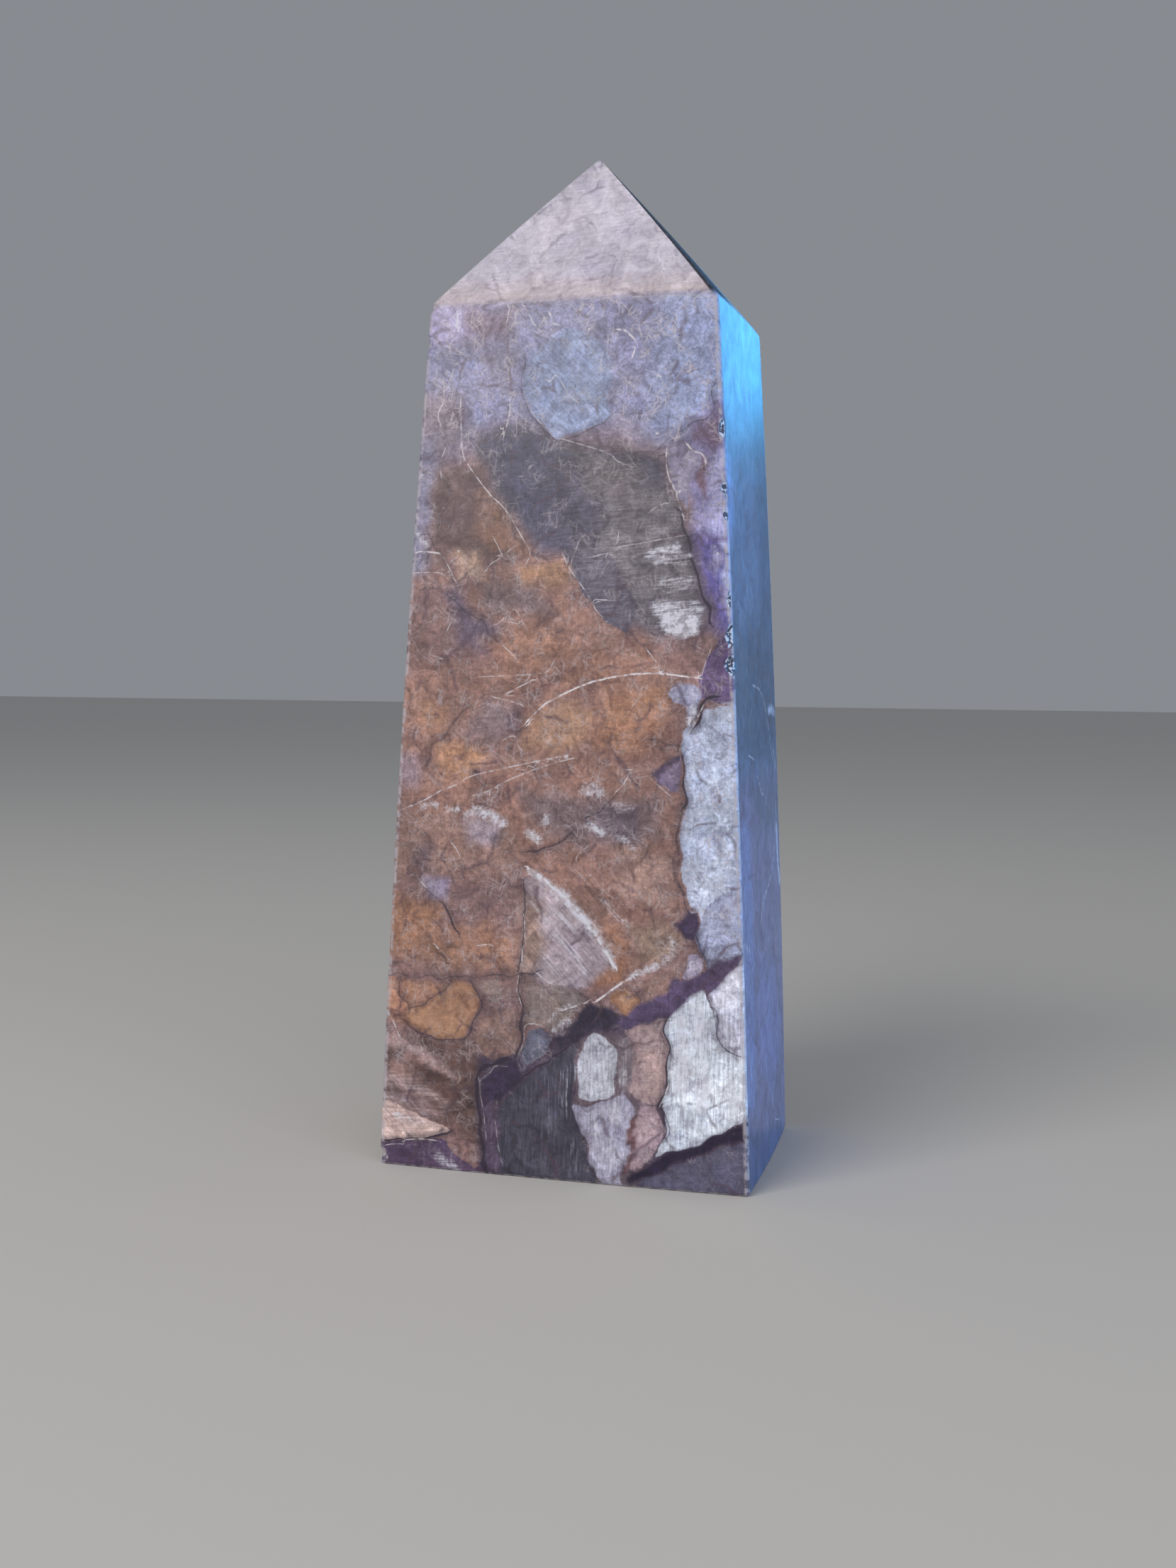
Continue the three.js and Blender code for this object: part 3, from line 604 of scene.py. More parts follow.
# the right face, seen at a glancing angle: (towards the back, up). Its blues are partly the stone's own
# lilac-blue and partly a painted reflection of cool light, lighter at the front top and darker towards the
# back.
rightFace = {
    "soft": [
        ("#7d7893", 5, [(20, 43), (20, -9), (-20, -9), (-20, 43)]),
        ("#7f86ac", 1.5, [(-20, 38), (-8, 37), (-7, 22), (-9, 8), (-20, 8)]),
        ("#6b6e83", 1.5, [(-6, 41), (20, 41), (20, 35), (-2, 36)]),
        ("#7e7fa4", 2, [(-5, 24), (6, 20), (9, 11), (2, 7), (-6, 12)]),
        # the steel blues from here to the lighter blue patch at the front top are a painted reflection of
        # cool light, darker towards the back
        ("#566a80", 5, [(20, 58), (20, 43), (-20, 43), (-20, 58)]),
        ("#445a72", 4, [(20, 62), (20, 44), (-4, 44), (-5, 57)]),
        ("#45607d", 3, [(20, 90), (20, 58), (4, 56), (2, 86)]),
        ("#8099c8", 1.4, [(-14, 77), (-9.4, 75), (-8.6, 71), (-10, 66.5), (-14, 65.5)]),
        ("#4c5c80", 0.8, [(-14, 7), (-7, 5), (14, 0.6), (14, -9), (-14, -9)]),
    ],
    "plates": {},
    "darkLines": [],
    "paleLines": [
        (0.22, 0.5, [(-3.2, 51.6), (1, 51), (4.5, 48.6), (7.4, 44.6), (9.6, 42)]),
        (0.16, 0.6, [(-7, 44.4), (-4.8, 44), (-3.2, 43.6)]),
        (0.2, 0.45, [(-2.2, 41.8), (0.4, 39.8), (1.4, 40.6)]),
        (0.28, 0.5, [(9.6, 37), (7.6, 33.4), (3.4, 30.2), (-1, 28.6), (-3, 26.4)]),
        (0.18, 0.4, [(8, 27), (6.6, 21.6)]),
        (0.1, 0.6, [(2, 75.6), (4.6, 75)]),
        (0.12, 0.7, [(3.6, 3.6), (6.4, 2.8)]),
    ],
    # painted highlights on the mica planes
    "glints": [
        (0.5, 0.75, [(6.4, 48.8), (8.6, 48.9), (10.6, 48.6)]),
        (0.5, 0.6, [(9.4, 44), (10.2, 42.6)]),
        (0.55, 0.85, [(10, 35.4), (10.4, 32), (11.4, 29.4)]),
        (0.4, 0.5, [(9.8, 38.2), (10.2, 36.6)]),
        (0.25, 0.6, [(-12.2, 25.4), (-9.4, 24.4)]),
    ],
}

# The faces that the photograph doesn't show, in the same stone: how many cells, veins, scratches
# and glints each gets, which way its mica books lean, and the stone colours that they take.
hiddenFaces = {
    "left": {"seed": 21, "half": 13.4, "cells": 34, "darkLines": 7, "paleLines": 22, "glints": 11, "lean": 68,
             "colours": ["#93736c", "#aa836b", "#796369", "#b88e6c", "#9c868d", "#6d6471", "#a39cae",
                         "#85768a", "#9e7869"]},
    "back": {"seed": 33, "half": 20.0, "cells": 46, "darkLines": 9, "paleLines": 30, "glints": 15, "lean": 24,
             "colours": ["#93736c", "#a5806c", "#796369", "#b08667", "#9c868d", "#625c6b", "#a5a0ad",
                         "#75657a", "#9e7869", "#8a8496"]},
    "under": {"seed": 5, "half": 20.0, "cells": 22, "darkLines": 5, "paleLines": 8, "glints": 4, "lean": 12,
              "colours": ["#93736c", "#796369", "#a8a4b2", "#625c6b", "#a5806c", "#75657a"]},
}
invented = {  # a pair is a range to draw from
    "corners": (6, 10),
    "unevenness": (0.7, 1.15),
    "size": (2.5, 7.5),
    "stretch": (1.1, 1.7),
    "turn": 0.35,
    "softness": 0.4,  # share of the size
    "stride": 2,
    "lines": {  # spread of the turn, length, bend per stride, half width, strength
        "darkLines": (0.5, (14, 40), 0.28, (0.1, 0.4), (0.5, 0.9)),
        "paleLines": (0.7, (4, 18), 0.09, (0.07, 0.13), (0.35, 0.75)),
        # glints are painted highlights
        "glints": (None, 4, 0.1, (0.2, 0.5), (0.4, 0.8)),
    },
}


def cellOutline(rng, cx, cz, size, stretch, lean):
    # six to nine corners at uneven angles on an ellipse, leaning with the mica books
    count = rng.integers(*invented["corners"])
    angle = np.sort(rng.uniform(0, 2 * np.pi, count))
    radius = size * rng.uniform(*invented["unevenness"], count)
    a = radius * np.cos(angle) * stretch
    b = radius * np.sin(angle) / stretch
    c, s = np.cos(lean), np.sin(lean)
    return list(zip(cx + a * c - b * s, cz + a * s + b * c))


def wanderingLine(rng, x, z, heading, length, bend):
    # a walk in even strides whose heading drifts
    stride = invented["stride"]
    strides = max(2, int(length / stride))
    turn = heading + np.cumsum(rng.normal(0, bend, strides))
    return list(zip(x + np.cumsum(stride * np.cos(turn)), z + np.cumsum(stride * np.sin(turn))))


def inventedMarkings(plan, top):
    # cells, veins, scratches and glints strewn over a face by the plan's seed; every third cell has
    # a sharp border, and its plate set alternates
    rng = np.random.default_rng(plan["seed"])
    lean = math.radians(plan["lean"])
    marks = {"soft": [], "plates": {"broadPlates": [], "smallPlates": []}}
    for k in range(plan["cells"]):
        colour = plan["colours"][rng.integers(len(plan["colours"]))]
        x, z = rng.uniform(-plan["half"], plan["half"]), rng.uniform(0, top)
        size, stretch = rng.uniform(*invented["size"]), rng.uniform(*invented["stretch"])
        outline = cellOutline(rng, x, z, size, stretch, lean + rng.normal(0, invented["turn"]))
        if k % 3 == 1:
            group = "smallPlates" if k // 3 % 2 else "broadPlates"
            marks["plates"][group].append((colour, outline))
        else:
            marks["soft"].append((colour, size * invented["softness"], outline))
    for name, (turn, length, bend, halfWidth, strength) in invented["lines"].items():
        marks[name] = []
        for k in range(plan[name]):
            x, z = rng.uniform(-plan["half"], plan["half"]), rng.uniform(0, top)
            if turn is None:
                walk = wanderingLine(rng, x, z, lean, length, bend)
            else:
                walk = wanderingLine(rng, x, z, lean + rng.normal(0, turn), rng.uniform(*length), bend)
            marks[name].append((rng.uniform(*halfWidth), rng.uniform(*strength), walk))
    return marks


def segmentDistance(x, z, ax, az, bx, bz):
    # distance to a segment, and the side of it: +1 to its left, -1 to its right
    dx, dz = bx - ax, bz - az
    t = np.clip(((x - ax) * dx + (z - az) * dz) / max(dx * dx + dz * dz, tiny), 0, 1)
    ex, ez = x - ax - t * dx, z - az - t * dz
    return np.hypot(ex, ez), np.where(dx * ez - dz * ex >= 0, 1.0, -1.0)


def insideDistance(x, z, outline):
    # distance to a closed outline, positive inside it by the even-odd rule
    best = np.full(x.shape, np.inf)
    inside = np.zeros(x.shape, bool)
    for (ax, az), (bx, bz) in zip(outline, outline[1:] + outline[:1]):
        best = np.minimum(best, segmentDistance(x, z, ax, az, bx, bz)[0])
        if az != bz:
            inside ^= ((az > z) != (bz > z)) & (x < (bx - ax) * (z - az) / (bz - az) + ax)
    return np.where(inside, best, -best)


def curveThrough(line, steps=5):
    # Catmull-Rom curve through the points of a line, from b to c between its neighbours a and d:
    # (2b + (c - a) t + (2a - 5b + 4c - d) t^2 + (3b - a - 3c + d) t^3) / 2
    p = np.array(line, float)
    if len(p) < 3:
        return p
    q = np.vstack([2 * p[0] - p[1], p, 2 * p[-1] - p[-2]])
    t = np.linspace(0, 1, steps, endpoint=False)[:, None]
    curve = [0.5 * (2 * b + (c - a) * t + (2 * a - 5 * b + 4 * c - d) * t ** 2
                    + (3 * b - a - 3 * c + d) * t ** 3) for a, b, c, d in zip(q, q[1:], q[2:], q[3:])]
    return np.vstack(curve + [p[-1:]])


def lineDistance(x, z, line):
    # signed and plain distance to an open line; a speck is a line of one point
    best = np.full(x.shape, np.inf)
    side = np.ones(x.shape)
    for a, b in zip(line, line[1:] if len(line) > 1 else line):
        d, s = segmentDistance(x, z, *a, *b)
        side = np.where(d < best, s, side)
        best = np.minimum(best, d)
    return best * side, best


def nearby(idx, x, z, outline, margin):
    # which points lie in the box round an outline, and where
    (left, low), (right, high) = np.min(outline, axis=0) - margin, np.max(outline, axis=0) + margin
    near = (x > left) & (x < right) & (z > low) & (z < high)
    return idx[near], x[near], z[near]


ragging = {"seed": 12, "waves": (5, 0.8, 9), "share": 0.026}  # waves: longest, shortest, how many


def ragged(x, z):
    # broken natural borders: each place looks its marking up a little aside, by the sum over waves
    # of share w sin(2 pi (x cos h + z sin h) / w + p)
    rng = np.random.default_rng(ragging["seed"])
    shifts = []
    for axis in ("x", "z"):
        shift = np.zeros(x.shape)
        for wave in np.geomspace(*ragging["waves"]):
            heading, phase = rng.uniform(0, 2 * np.pi, 2)
            turn = 2 * np.pi * (x * np.cos(heading) + z * np.sin(heading)) / wave + phase
            shift += ragging["share"] * wave * np.sin(turn)
        shifts.append(shift)
    return x + shifts[0], z + shifts[1]


# Every point of the mesh, the part it belongs to, and its place on the canvas of its face
underPoints = under.reshape(-1, 3)
points = np.vstack([grid.reshape(-1, 3), underPoints, [[0, 0, 0]], [grid[-1].mean(0)]])
pointCount = len(points)
gridCount = levelCount * columnCount
baseMiddle, tipMiddle = pointCount - 2, pointCount - 1
underParts = np.full(len(underPoints) + 1, partNames.index("under"))
part = np.concatenate([np.tile(columnPart, levelCount), underParts, [0]])
frontX = np.concatenate([across.ravel(), underPoints[:, 0], [0, 0]])
frontZ = np.concatenate([up.ravel(), -underPoints[:, 1] - halfBase[1], [-halfBase[1], tower["apex"][2]]])
shoulderLeft, shoulderRight = tower["shoulder"][0][2], tower["shoulder"][1][2]
onBody = points[:, 2] < shoulderRight
frontReach = 30  # how far to either side the front's markings can go round or underneath


def on(*names):
    # which points belong to the named parts
    return np.isin(part, [partNames.index(name) for name in names])


nearFront = on("front", "left", "frontLeftEdge", "frontRightEdge", "under") & (abs(frontX) < frontReach)
canvases = {
    "front": (nearFront, frontX, frontZ),
    "left": (onBody & on("left"), -points[:, 1], points[:, 2]),
    "right": (onBody & on("right"), points[:, 1], points[:, 2]),
    "back": (onBody & on("back", "backRightEdge", "backLeftEdge"), -points[:, 0], points[:, 2]),
    "under": (on("under"), points[:, 0], points[:, 1] + halfBase[1]),
}
drawings = {"front": frontFace, "right": rightFace}
for name, plan in hiddenFaces.items():
    drawings[name] = inventedMarkings(plan, tower["baseDepth"] if name == "under" else shoulderRight)

# Paint them. A plate keeps its colour and the distance in from its border, a line its signed and
# plain distance, half width and strength. Scratches and glints keep their line, while the stone's
# own borders are ragged.
painting = {
    "plateReach": 3.0,
    "plateMargin": 2.5,
    "lineMargin": 1.2,
    "glintMargin": 0.6,
    "glintInside": 0.45,
    "noLine": (9.0, 9.0, 0.1, 0.0),
}
tint = np.tile(linear(stoneColours["body"]), (pointCount, 1))
noPlate = np.append(linear(stoneColours["body"]), -painting["plateReach"])
plates = {name: np.tile(noPlate, (pointCount, 1)) for name in frontFace["plates"]}
lines = {name: np.tile(painting["noLine"], (pointCount, 1)) for name in ("paleLines", "darkLines")}
glint = np.zeros(pointCount)
# the right face's ground colour, partly a painted reflection of cool light
tint[on("right")] = linear(stoneColours["right"])
for canvas, marks in drawings.items():
    mask, x, z = canvases[canvas]
    idx = np.nonzero(mask)[0]
    straight = x[idx], z[idx]
    bent = ragged(*straight)
    for colour, softness, outline in marks["soft"]:
        at, px, pz = nearby(idx, *bent, outline, softness)
        share = smooth(-softness, softness, insideDistance(px, pz, outline))[:, None]
        tint[at] = mixed(tint[at], linear(colour), share)
    for name, group in marks["plates"].items():
        field = plates[name]
        for colour, outline in group:
            at, px, pz = nearby(idx, *bent, outline, painting["plateMargin"])
            d = np.clip(insideDistance(px, pz, outline), -painting["plateReach"], painting["plateReach"])
            wins = d > field[at, 3]
            field[at[wins], :3] = linear(colour)
            field[at[wins], 3] = d[wins]
    for name, looked in (("darkLines", bent), ("paleLines", straight)):
        field = lines[name]
        for halfWidth, strength, line in marks[name]:
            curve = curveThrough(line)
            at, px, pz = nearby(idx, *looked, curve, halfWidth + painting["lineMargin"])
            signed, plain = lineDistance(px, pz, curve)
            wins = plain - halfWidth < field[at, 1] - field[at, 2]
            field[at[wins], :2] = np.stack([signed, plain], 1)[wins]
            field[at[wins], 2:] = halfWidth, strength
    # glints are painted highlights, kept as how strongly each point flashes
    for halfWidth, strength, line in marks["glints"]:
        curve = curveThrough(line)
        at, px, pz = nearby(idx, *straight, curve, halfWidth + painting["glintMargin"])
        inside = halfWidth - lineDistance(px, pz, curve)[1]
        shown = strength * smooth(-painting["glintMargin"], painting["glintInside"], inside)
        glint[at] = np.maximum(glint[at], shown)
print("markings drawn on", pointCount, "points")

# Facets of the point: paler than the body, and warmer at their foot. The right one is greyer, painted
# shade, and near-black and matt beside its front ridge, where the dark is a painted reflection.
facets = {
    "start": (shoulderLeft - 0.4, shoulderLeft + 0.3),
    "foot": (91, 94.5),
    "footShare": 0.5,
    "darkReflectionBesideRidge": (4, 9),
}
onPoint = smooth(*facets["start"], points[:, 2])
foot = facets["footShare"] * (1 - smooth(*facets["foot"], points[:, 2]))[:, None]
facetTint = mixed(linear(stoneColours["point"]), linear(stoneColours["footOfPoint"]), foot)
ridgeY = tower["shoulder"][1][1] * (tower["apex"][2] - points[:, 2]) / (tower["apex"][2] - shoulderRight)
# the near-black band beside the ridge is a painted dark reflection
darkReflectionBesideRidge = 1 - smooth(*facets["darkReflectionBesideRidge"], points[:, 1] - ridgeY)
rightFacet = on("right", "frontRightEdge")
darkReflection, shadeBehind = linear(stoneColours["darkReflectionBesideRidge"]), linear(stoneColours["shadeBehindRidge"])
facetTint = np.where(rightFacet[:, None], mixed(shadeBehind, darkReflection, darkReflectionBesideRidge[:, None]), facetTint)
tint = mixed(tint, facetTint, onPoint[:, None])
matt = onPoint * rightFacet * darkReflectionBesideRidge

# How strongly each kind of mica fibre shows: upright, level, falling to the right, curly
fibreWeights = {
    "body": (0.2, 0.25, 0.12, 0.6),
    "right": (1.0, 0.0, 0.0, 0.12),
    "left": (0.7, 0.1, 0.05, 0.4),
    "point": (0.0, 0.4, 0.0, 0.14),
}
grainAreas = [  # weights, softness, outline
    ((0.15, 0.15, 0.1, 1), 3, [(-22, 76), (22, 75), (22, 92), (-22, 92)]),
    ((0, 0.1, 0.5, 0.55), 2, [(-5, 88), (4, 88), (4, 77), (-5, 77)]),
    ((0.15, 0.75, 0.05, 0.45), 2, [(-10, 77), (9, 76), (12, 68), (14, 58), (4, 58), (-4, 66)]),
    ((0.5, 0.2, 0.1, 0.5), 1.5, [(-9, 78), (-2, 77), (-2, 66), (-6, 67)]),
    ((0.2, 0.3, 0.1, 0.25), 0.8, [(-14.5, 72.5), (-10.5, 73.5), (-4.6, 65), (-14, 65.3)]),
    ((0.6, 0.1, 0, 0.2), 1, [(14, 68), (17, 68), (17, 56), (14.5, 57)]),
    ((0.25, 0.2, 0.1, 0.75), 1, [(12.4, 49), (18, 49), (19.5, 24), (15, 23), (13, 30)]),
    ((0, 0.1, 0.5, 0.3), 0.6, [(-4, 31), (0, 31), (6, 23), (3, 20), (-4, 21.4)]),
    ((0, 0.1, 0.4, 0.5), 0.8, [(-4, 34), (2, 34), (7, 27), (5, 22), (0, 30)]),
    ((0.8, 0.1, 0, 0.4), 0.8, [(11, 20), (20, 20), (20, 5), (11, 4)]),
    ((1, 0.1, 0, 0.08), 0.8, [(-7, 8), (2, 15), (2, 6), (5, -2), (-7, -2)]),
    ((0.6, 0, 0, 0.5), 0.8, [(2, 16), (8, 16), (8, 0), (3, 0)]),
    ((0, 0.6, 0.5, 0.2), 1.5, [(-22, 12), (-12, 9), (-12, 5), (-22, 3)]),
    ((0.1, 0.1, 0, 0.2), 1, [(-17, 16), (-10, 20), (-9, 17), (-11, 14)]),
    ((0.2, 0.5, 0.2, 0.15), 0.8, [(-22, 2), (-10, 2), (-8, -2), (-22, -2)]),
    ((0.1, 0.3, 0.3, 0.1), 0.8, [(7.6, 0.5), (20.6, 5), (20.6, -3), (7.6, -3)]),
]
grain = np.tile(fibreWeights["body"], (pointCount, 1))
idx = np.nonzero(nearFront)[0]
for weights, softness, outline in grainAreas:
    at, px, pz = nearby(idx, frontX[idx], frontZ[idx], outline, softness)
    share = smooth(-softness, softness, insideDistance(px, pz, outline))[:, None]
    grain[at] = mixed(grain[at], np.array(weights), share)
for name in ("right", "left"):
    grain[on(name)] = fibreWeights[name]
grain = mixed(grain, np.array(fibreWeights["point"]), onPoint[:, None])

# how much the surface varies, less on the point and the right face
calm = 0.6
busy = mixed(1, calm, onPoint)
busy[on("right")] = calm

# Pale edges, partly worn and partly a painted highlight along their rounding: the four edges, except where
# the right ridge of the point is dark, the foot and the shoulder. Chips are pale on most edges, and fresh
# and dark on the front right one.
wearing = {"levelsAtFoot": 3, "paleChip": (0.15, 1.6), "freshChip": 0.12}
wearAndHighlightLevels = np.zeros((levelCount, columnCount))
wearAndHighlightLevels[:wearing["levelsAtFoot"]] = 1
wearAndHighlightLevels[tower["levels"]["bevel"] + tower["levels"]["body"] + 1] = 1
wearAndHighlight = (on("frontLeftEdge", "backRightEdge", "backLeftEdge") | (on("frontRightEdge") & onBody)).astype(float)
depth, strength = wearing["paleChip"]
paleChips = strength * np.clip(chipDepths["pale"] / depth, 0, 1)
wearAndHighlight[:gridCount] = np.maximum(wearAndHighlight[:gridCount], np.maximum(wearAndHighlightLevels, paleChips).ravel())
chipped = np.zeros(pointCount)
chipped[:gridCount] = np.clip(chipDepths["fresh"] / wearing["freshChip"], 0, 1).ravel()

unwrapping = {  # room on the map, in shares of it: start and extent
    "partRoom": {"front": 1.0, "right": 0.6, "back": 0.45, "left": 0.6},
    "walls": ((0.004, 0.992), (0.17, 0.826)),
    "base": ((0.01, 0.96), (0.008, 0.145)),
    "baseFill": 0.98,
    "tip": (0.5, 0.162),
    "tipScale": 0.004,
    "measuredColumn": 40,  # the column of the front that gives the levels their heights on the map
}


def quadCorners(values):
    # the four corners of each wall quad, from values on (level, column) with the first column again last
    return np.stack([values[:-1, :-1], values[:-1, 1:], values[1:, 1:], values[1:, :-1]], -1).ravel()


def stoneFaces():
    # quads between neighbouring levels and columns, rings in to the middle of the base, a fan at the tip
    numbers = np.arange(gridCount).reshape(levelCount, columnCount)
    walls = quadCorners(np.hstack([numbers, numbers[:, :1]])).reshape(-1, 4)
    ringStart = np.concatenate([[0], gridCount + columnCount * np.arange(len(under))])
    here = np.arange(columnCount)
    there = (here + 1) % columnCount
    baseRings = [np.stack([a + here, b + here, b + there, a + there], 1)
                 for a, b in zip(ringStart, ringStart[1:])]
    last, top = ringStart[-1], gridCount - columnCount
    fans = [np.stack([last + here, np.full(columnCount, baseMiddle), last + there], 1),
            np.stack([top + here, top + there, np.full(columnCount, tipMiddle)], 1)]
    return walls, np.vstack(baseRings), np.vstack(fans)


def mapPlaces(rest):
    # the tower's sides opened out along the back left edge, its base laid below them
    middle = grid[levelCount // 2]
    width = np.linalg.norm(np.roll(middle, -1, axis=0) - middle, axis=1)
    width *= [unwrapping["partRoom"].get(partNames[k], 1.0) for k in columnPart]
    measured = grid[:, firstFront + unwrapping["measuredColumn"]]
    rise = np.linalg.norm(np.diff(measured, axis=0), axis=1)
    u, v = (start + extent * np.concatenate([[0], np.cumsum(lengths)]) / lengths.sum()
            for (start, extent), lengths in zip(unwrapping["walls"], (width, rise)))
    walls = quadCorners(np.tile(u, (levelCount, 1))), quadCorners(np.tile(v[:, None], columnCount + 1))
    isTip = (rest == tipMiddle) | ((rest >= gridCount - columnCount) & (rest < gridCount))
    both = []
    for k, (start, extent) in enumerate(unwrapping["base"]):
        onBase = start + extent * (points[rest, k] / (2 * halfBase[k]) * unwrapping["baseFill"] + 0.5)
        onTip = unwrapping["tip"][k] + points[rest, k] * unwrapping["tipScale"]
        both.append(np.concatenate([walls[k], np.where(isTip, onTip, onBase)]))
    return both


def unrolledPlaces(rest):
    # the same places in mm, (across, up), for the surface's patterns
    lastAcross = across[:, -1:] + np.linalg.norm(grid[:, :1] - grid[:, -1:], axis=2)
    wallAcross = quadCorners(np.hstack([across, lastAcross]))
    wallUp = quadCorners(np.hstack([up, up[:, :1]]))
    return np.concatenate([wallAcross, frontX[rest]]), np.concatenate([wallUp, frontZ[rest]])


def stoneMesh():
    # all points and faces at once, smooth-shaded, with the map and what the surface reads
    walls, baseRings, fans = stoneFaces()
    corners = np.concatenate([walls.ravel(), baseRings.ravel(), fans.ravel()])
    sizes = np.repeat([4, 3], [len(walls) + len(baseRings), len(fans)])
    mesh = bpy.data.meshes.new("lepidolite stone")
    mesh.vertices.add(pointCount)
    mesh.vertices.foreach_set("co", (points * mm).ravel())
    mesh.loops.add(len(corners))
    mesh.loops.foreach_set("vertex_index", corners)
    mesh.polygons.add(len(sizes))
    mesh.polygons.foreach_set("loop_start", np.cumsum(sizes) - sizes)
    mesh.update(calc_edges=True)
    mesh.polygons.foreach_set("use_smooth", np.ones(len(sizes), bool))
    rest = corners[walls.size:]
    u, v = mapPlaces(rest)
    mesh.uv_layers.new(name="OFBake").data.foreach_set("uv", np.stack([u, v], 1).ravel())
    x, z = unrolledPlaces(rest)
    flat = np.stack([x, z, 0 * x], 1).astype(np.float32)
    mesh.attributes.new("unrolled", "FLOAT_VECTOR", "CORNER").data.foreach_set("vector", flat.ravel())
    colours = {"tint": np.hstack([tint, np.ones((pointCount, 1))]), **plates, **lines, "grain": grain}
    for name, field in colours.items():
        field = field.astype(np.float32).ravel()
        mesh.attributes.new(name, "FLOAT_COLOR", "POINT").data.foreach_set("color", field)
    amounts = {"glint": glint, "wearAndHighlight": wearAndHighlight, "chipped": chipped, "busy": busy, "matt": matt}
    for name, field in amounts.items():
        mesh.attributes.new(name, "FLOAT", "POINT").data.foreach_set("value", field.astype(np.float32))
    mesh.validate()
    return mesh


# The polished surface. Sizes are in mm, turns in degrees up from level, shares from 0 to 1. A mask
# says where it starts, where it is full and, if they aren't 0 and 1, its least and most. Real mica
# splits finer than the render shows, so its fibres and strands are drawn 0.1 to 0.25 mm wide.
surface = {
    "noises": {  # size, detail, roughness, distortion
        "fine": (0.45, 3, 0.6, 0),
        "soft": (2.2, 3, 0.55, 0),
        "wide": (7, 2, 0.5, 0),
        "cool": (3.4, 3, 0.6, 0.4),
        "cloud": (2.1, 4, 0.62, 0.9),
        "grainy": (0.62, 3, 0.7, 0.8),
        "curl": (0.8, 4, 0.72, 1.4),
        "patchy": (2.4, 2, 0.5, 0),
        "broken": (0.9, 2, 0.5, 0),
        "chip": (0.4, 2, 0.5, 0),
    },
    "wobble": (0.2, -0.1),  # how much of the fine noise moves the plates' borders, and its offset
    "plateBorders": {"broadPlates": (-0.17, 0.03), "smallPlates": (-0.17, 0.03), "darkPlates": (-0.42, 0.24)},
    "plateRim": (0.7, 0.05, 0, 0.3),
    "rimTone": (0.6, 0.55, 0.62),
    "fibres": ((90, 2.6, 0.24), (5, 2.4, 0.22), (-46, 3.0, 0.24)),  # turn, length, width
    "fibreNoise": (3.0, 0.62, 0.25),  # detail, roughness, distortion
    "tones": (  # noise, where it starts and is full, share, what it multiplies the colour by
        ("wide", 0.5, 0.7, 0.6, (1.2, 1.16, 1.12)),
        ("wide", 0.5, 0.3, 0.6, (0.8, 0.78, 0.84)),
        ("cool", 0.5, 0.7, 0.4, (0.88, 0.92, 1.08)),
        ("cloud", 0.5, 0.7, 0.9, (1.34, 1.33, 1.33)),
        ("cloud", 0.5, 0.3, 0.9, (0.64, 0.6, 0.65)),
        ("grainy", 0.5, 0.72, 0.6, (1.35, 1.35, 1.35)),
        ("grainy", 0.5, 0.3, 0.6, (0.62, 0.6, 0.64)),
        ("fibre", 0.005, 0.13, 0.45, (1.7, 1.68, 1.74)),
        ("fibre", -0.005, -0.13, 0.45, (0.46, 0.42, 0.48)),
    ),
    "books": (3.2, 0.84, 1.16),  # size of the mica books, and how dark and light they come
    "bend": (2.6, 1.5),  # size and reach of what bends the strands
    "strands": (  # turn, length and width of the cell that each lies in, share, colour
        (80, 6.0, 0.50, 0.5, "#d3c8d0"),
        (24, 5.0, 0.44, 0.42, "#cdc1c9"),
        (-38, 6.5, 0.50, 0.42, "#d0c5cd"),
        (56, 3.0, 0.30, 0.34, "#cbbfc8"),
        (-12, 3.4, 0.30, 0.34, "#d3c8d0"),
        (-68, 4.0, 0.36, 0.34, "#c9bdc6"),
        (38, 3.4, 0.40, 0.3, "#4b3c46"),
        (-30, 3.8, 0.44, 0.3, "#4b3c46"),
    ),
    "strandPatches": (0.42, 0.62),
    "sliver": (0.26, 0.05),
    "crackCell": 5.5,
    "crackWidth": (0.06, 0.0, 0, 0.6),
    "crackPatches": (0.45, 0.6),
    "crack": "#574250",
    "lineShake": 0.14,
    "lineBorder": ((0.85, 0.01), (0.25, 0)),  # outer and inner: share of the half width, and mm more
    "lineEnd": (0.5, 0.2),
    "shadeBesideLine": (0.7, -0.1, 0, 0.4),
    "paleBreaks": (0.38, 0.6, 0.15, 1),
    "darkLine": "#30273a",
    "paleLine": "#e4dde4",
    # the painted highlights of the mica planes
    "flashTear": 2.8,  # how strongly the fibres tear the flashes' borders
    "flashBorder": (0.1, 1.15),
    "flashReach": (0.02, 0.5),
    "flashBreaks": (0.36, 0.56, 0.45, 1),
    "flash": "#e2e2f0",
    # pale edges: partly real wear, partly painted highlight along the rounded edges
    "wearAndHighlightBreaks": (0.38, 0.58, 0.1, 0.7),
    "wornEdgeAndHighlight": "#c0bac4",
    "chipFacets": (0.46, 0.6),
    "chipBorder": (0.25, 0.8),
    "chips": ("#4c4c5e", "#dce3f0"),
    "roughness": (0.26, 0.16),  # least, and how much more the soft noise adds
    "wornRoughness": 0.2,
    "mattRoughness": 0.6,
    "ior": 1.55,  # mica's
    "lineGroove": -1.5,
    "bumpStrength": 0.2,
    "relief": 0.04,
}
smoothly = {"interpolation_type": "SMOOTHSTEP"}
mixing = {"data_type": "RGBA"}
tinting = {"data_type": "RGBA", "blend_type": "MULTIPLY"}
laidAlong = {"vector_type": "TEXTURE"}
flatNoise = {"noise_dimensions": "2D"}
flatCells = {"voronoi_dimensions": "2D"}
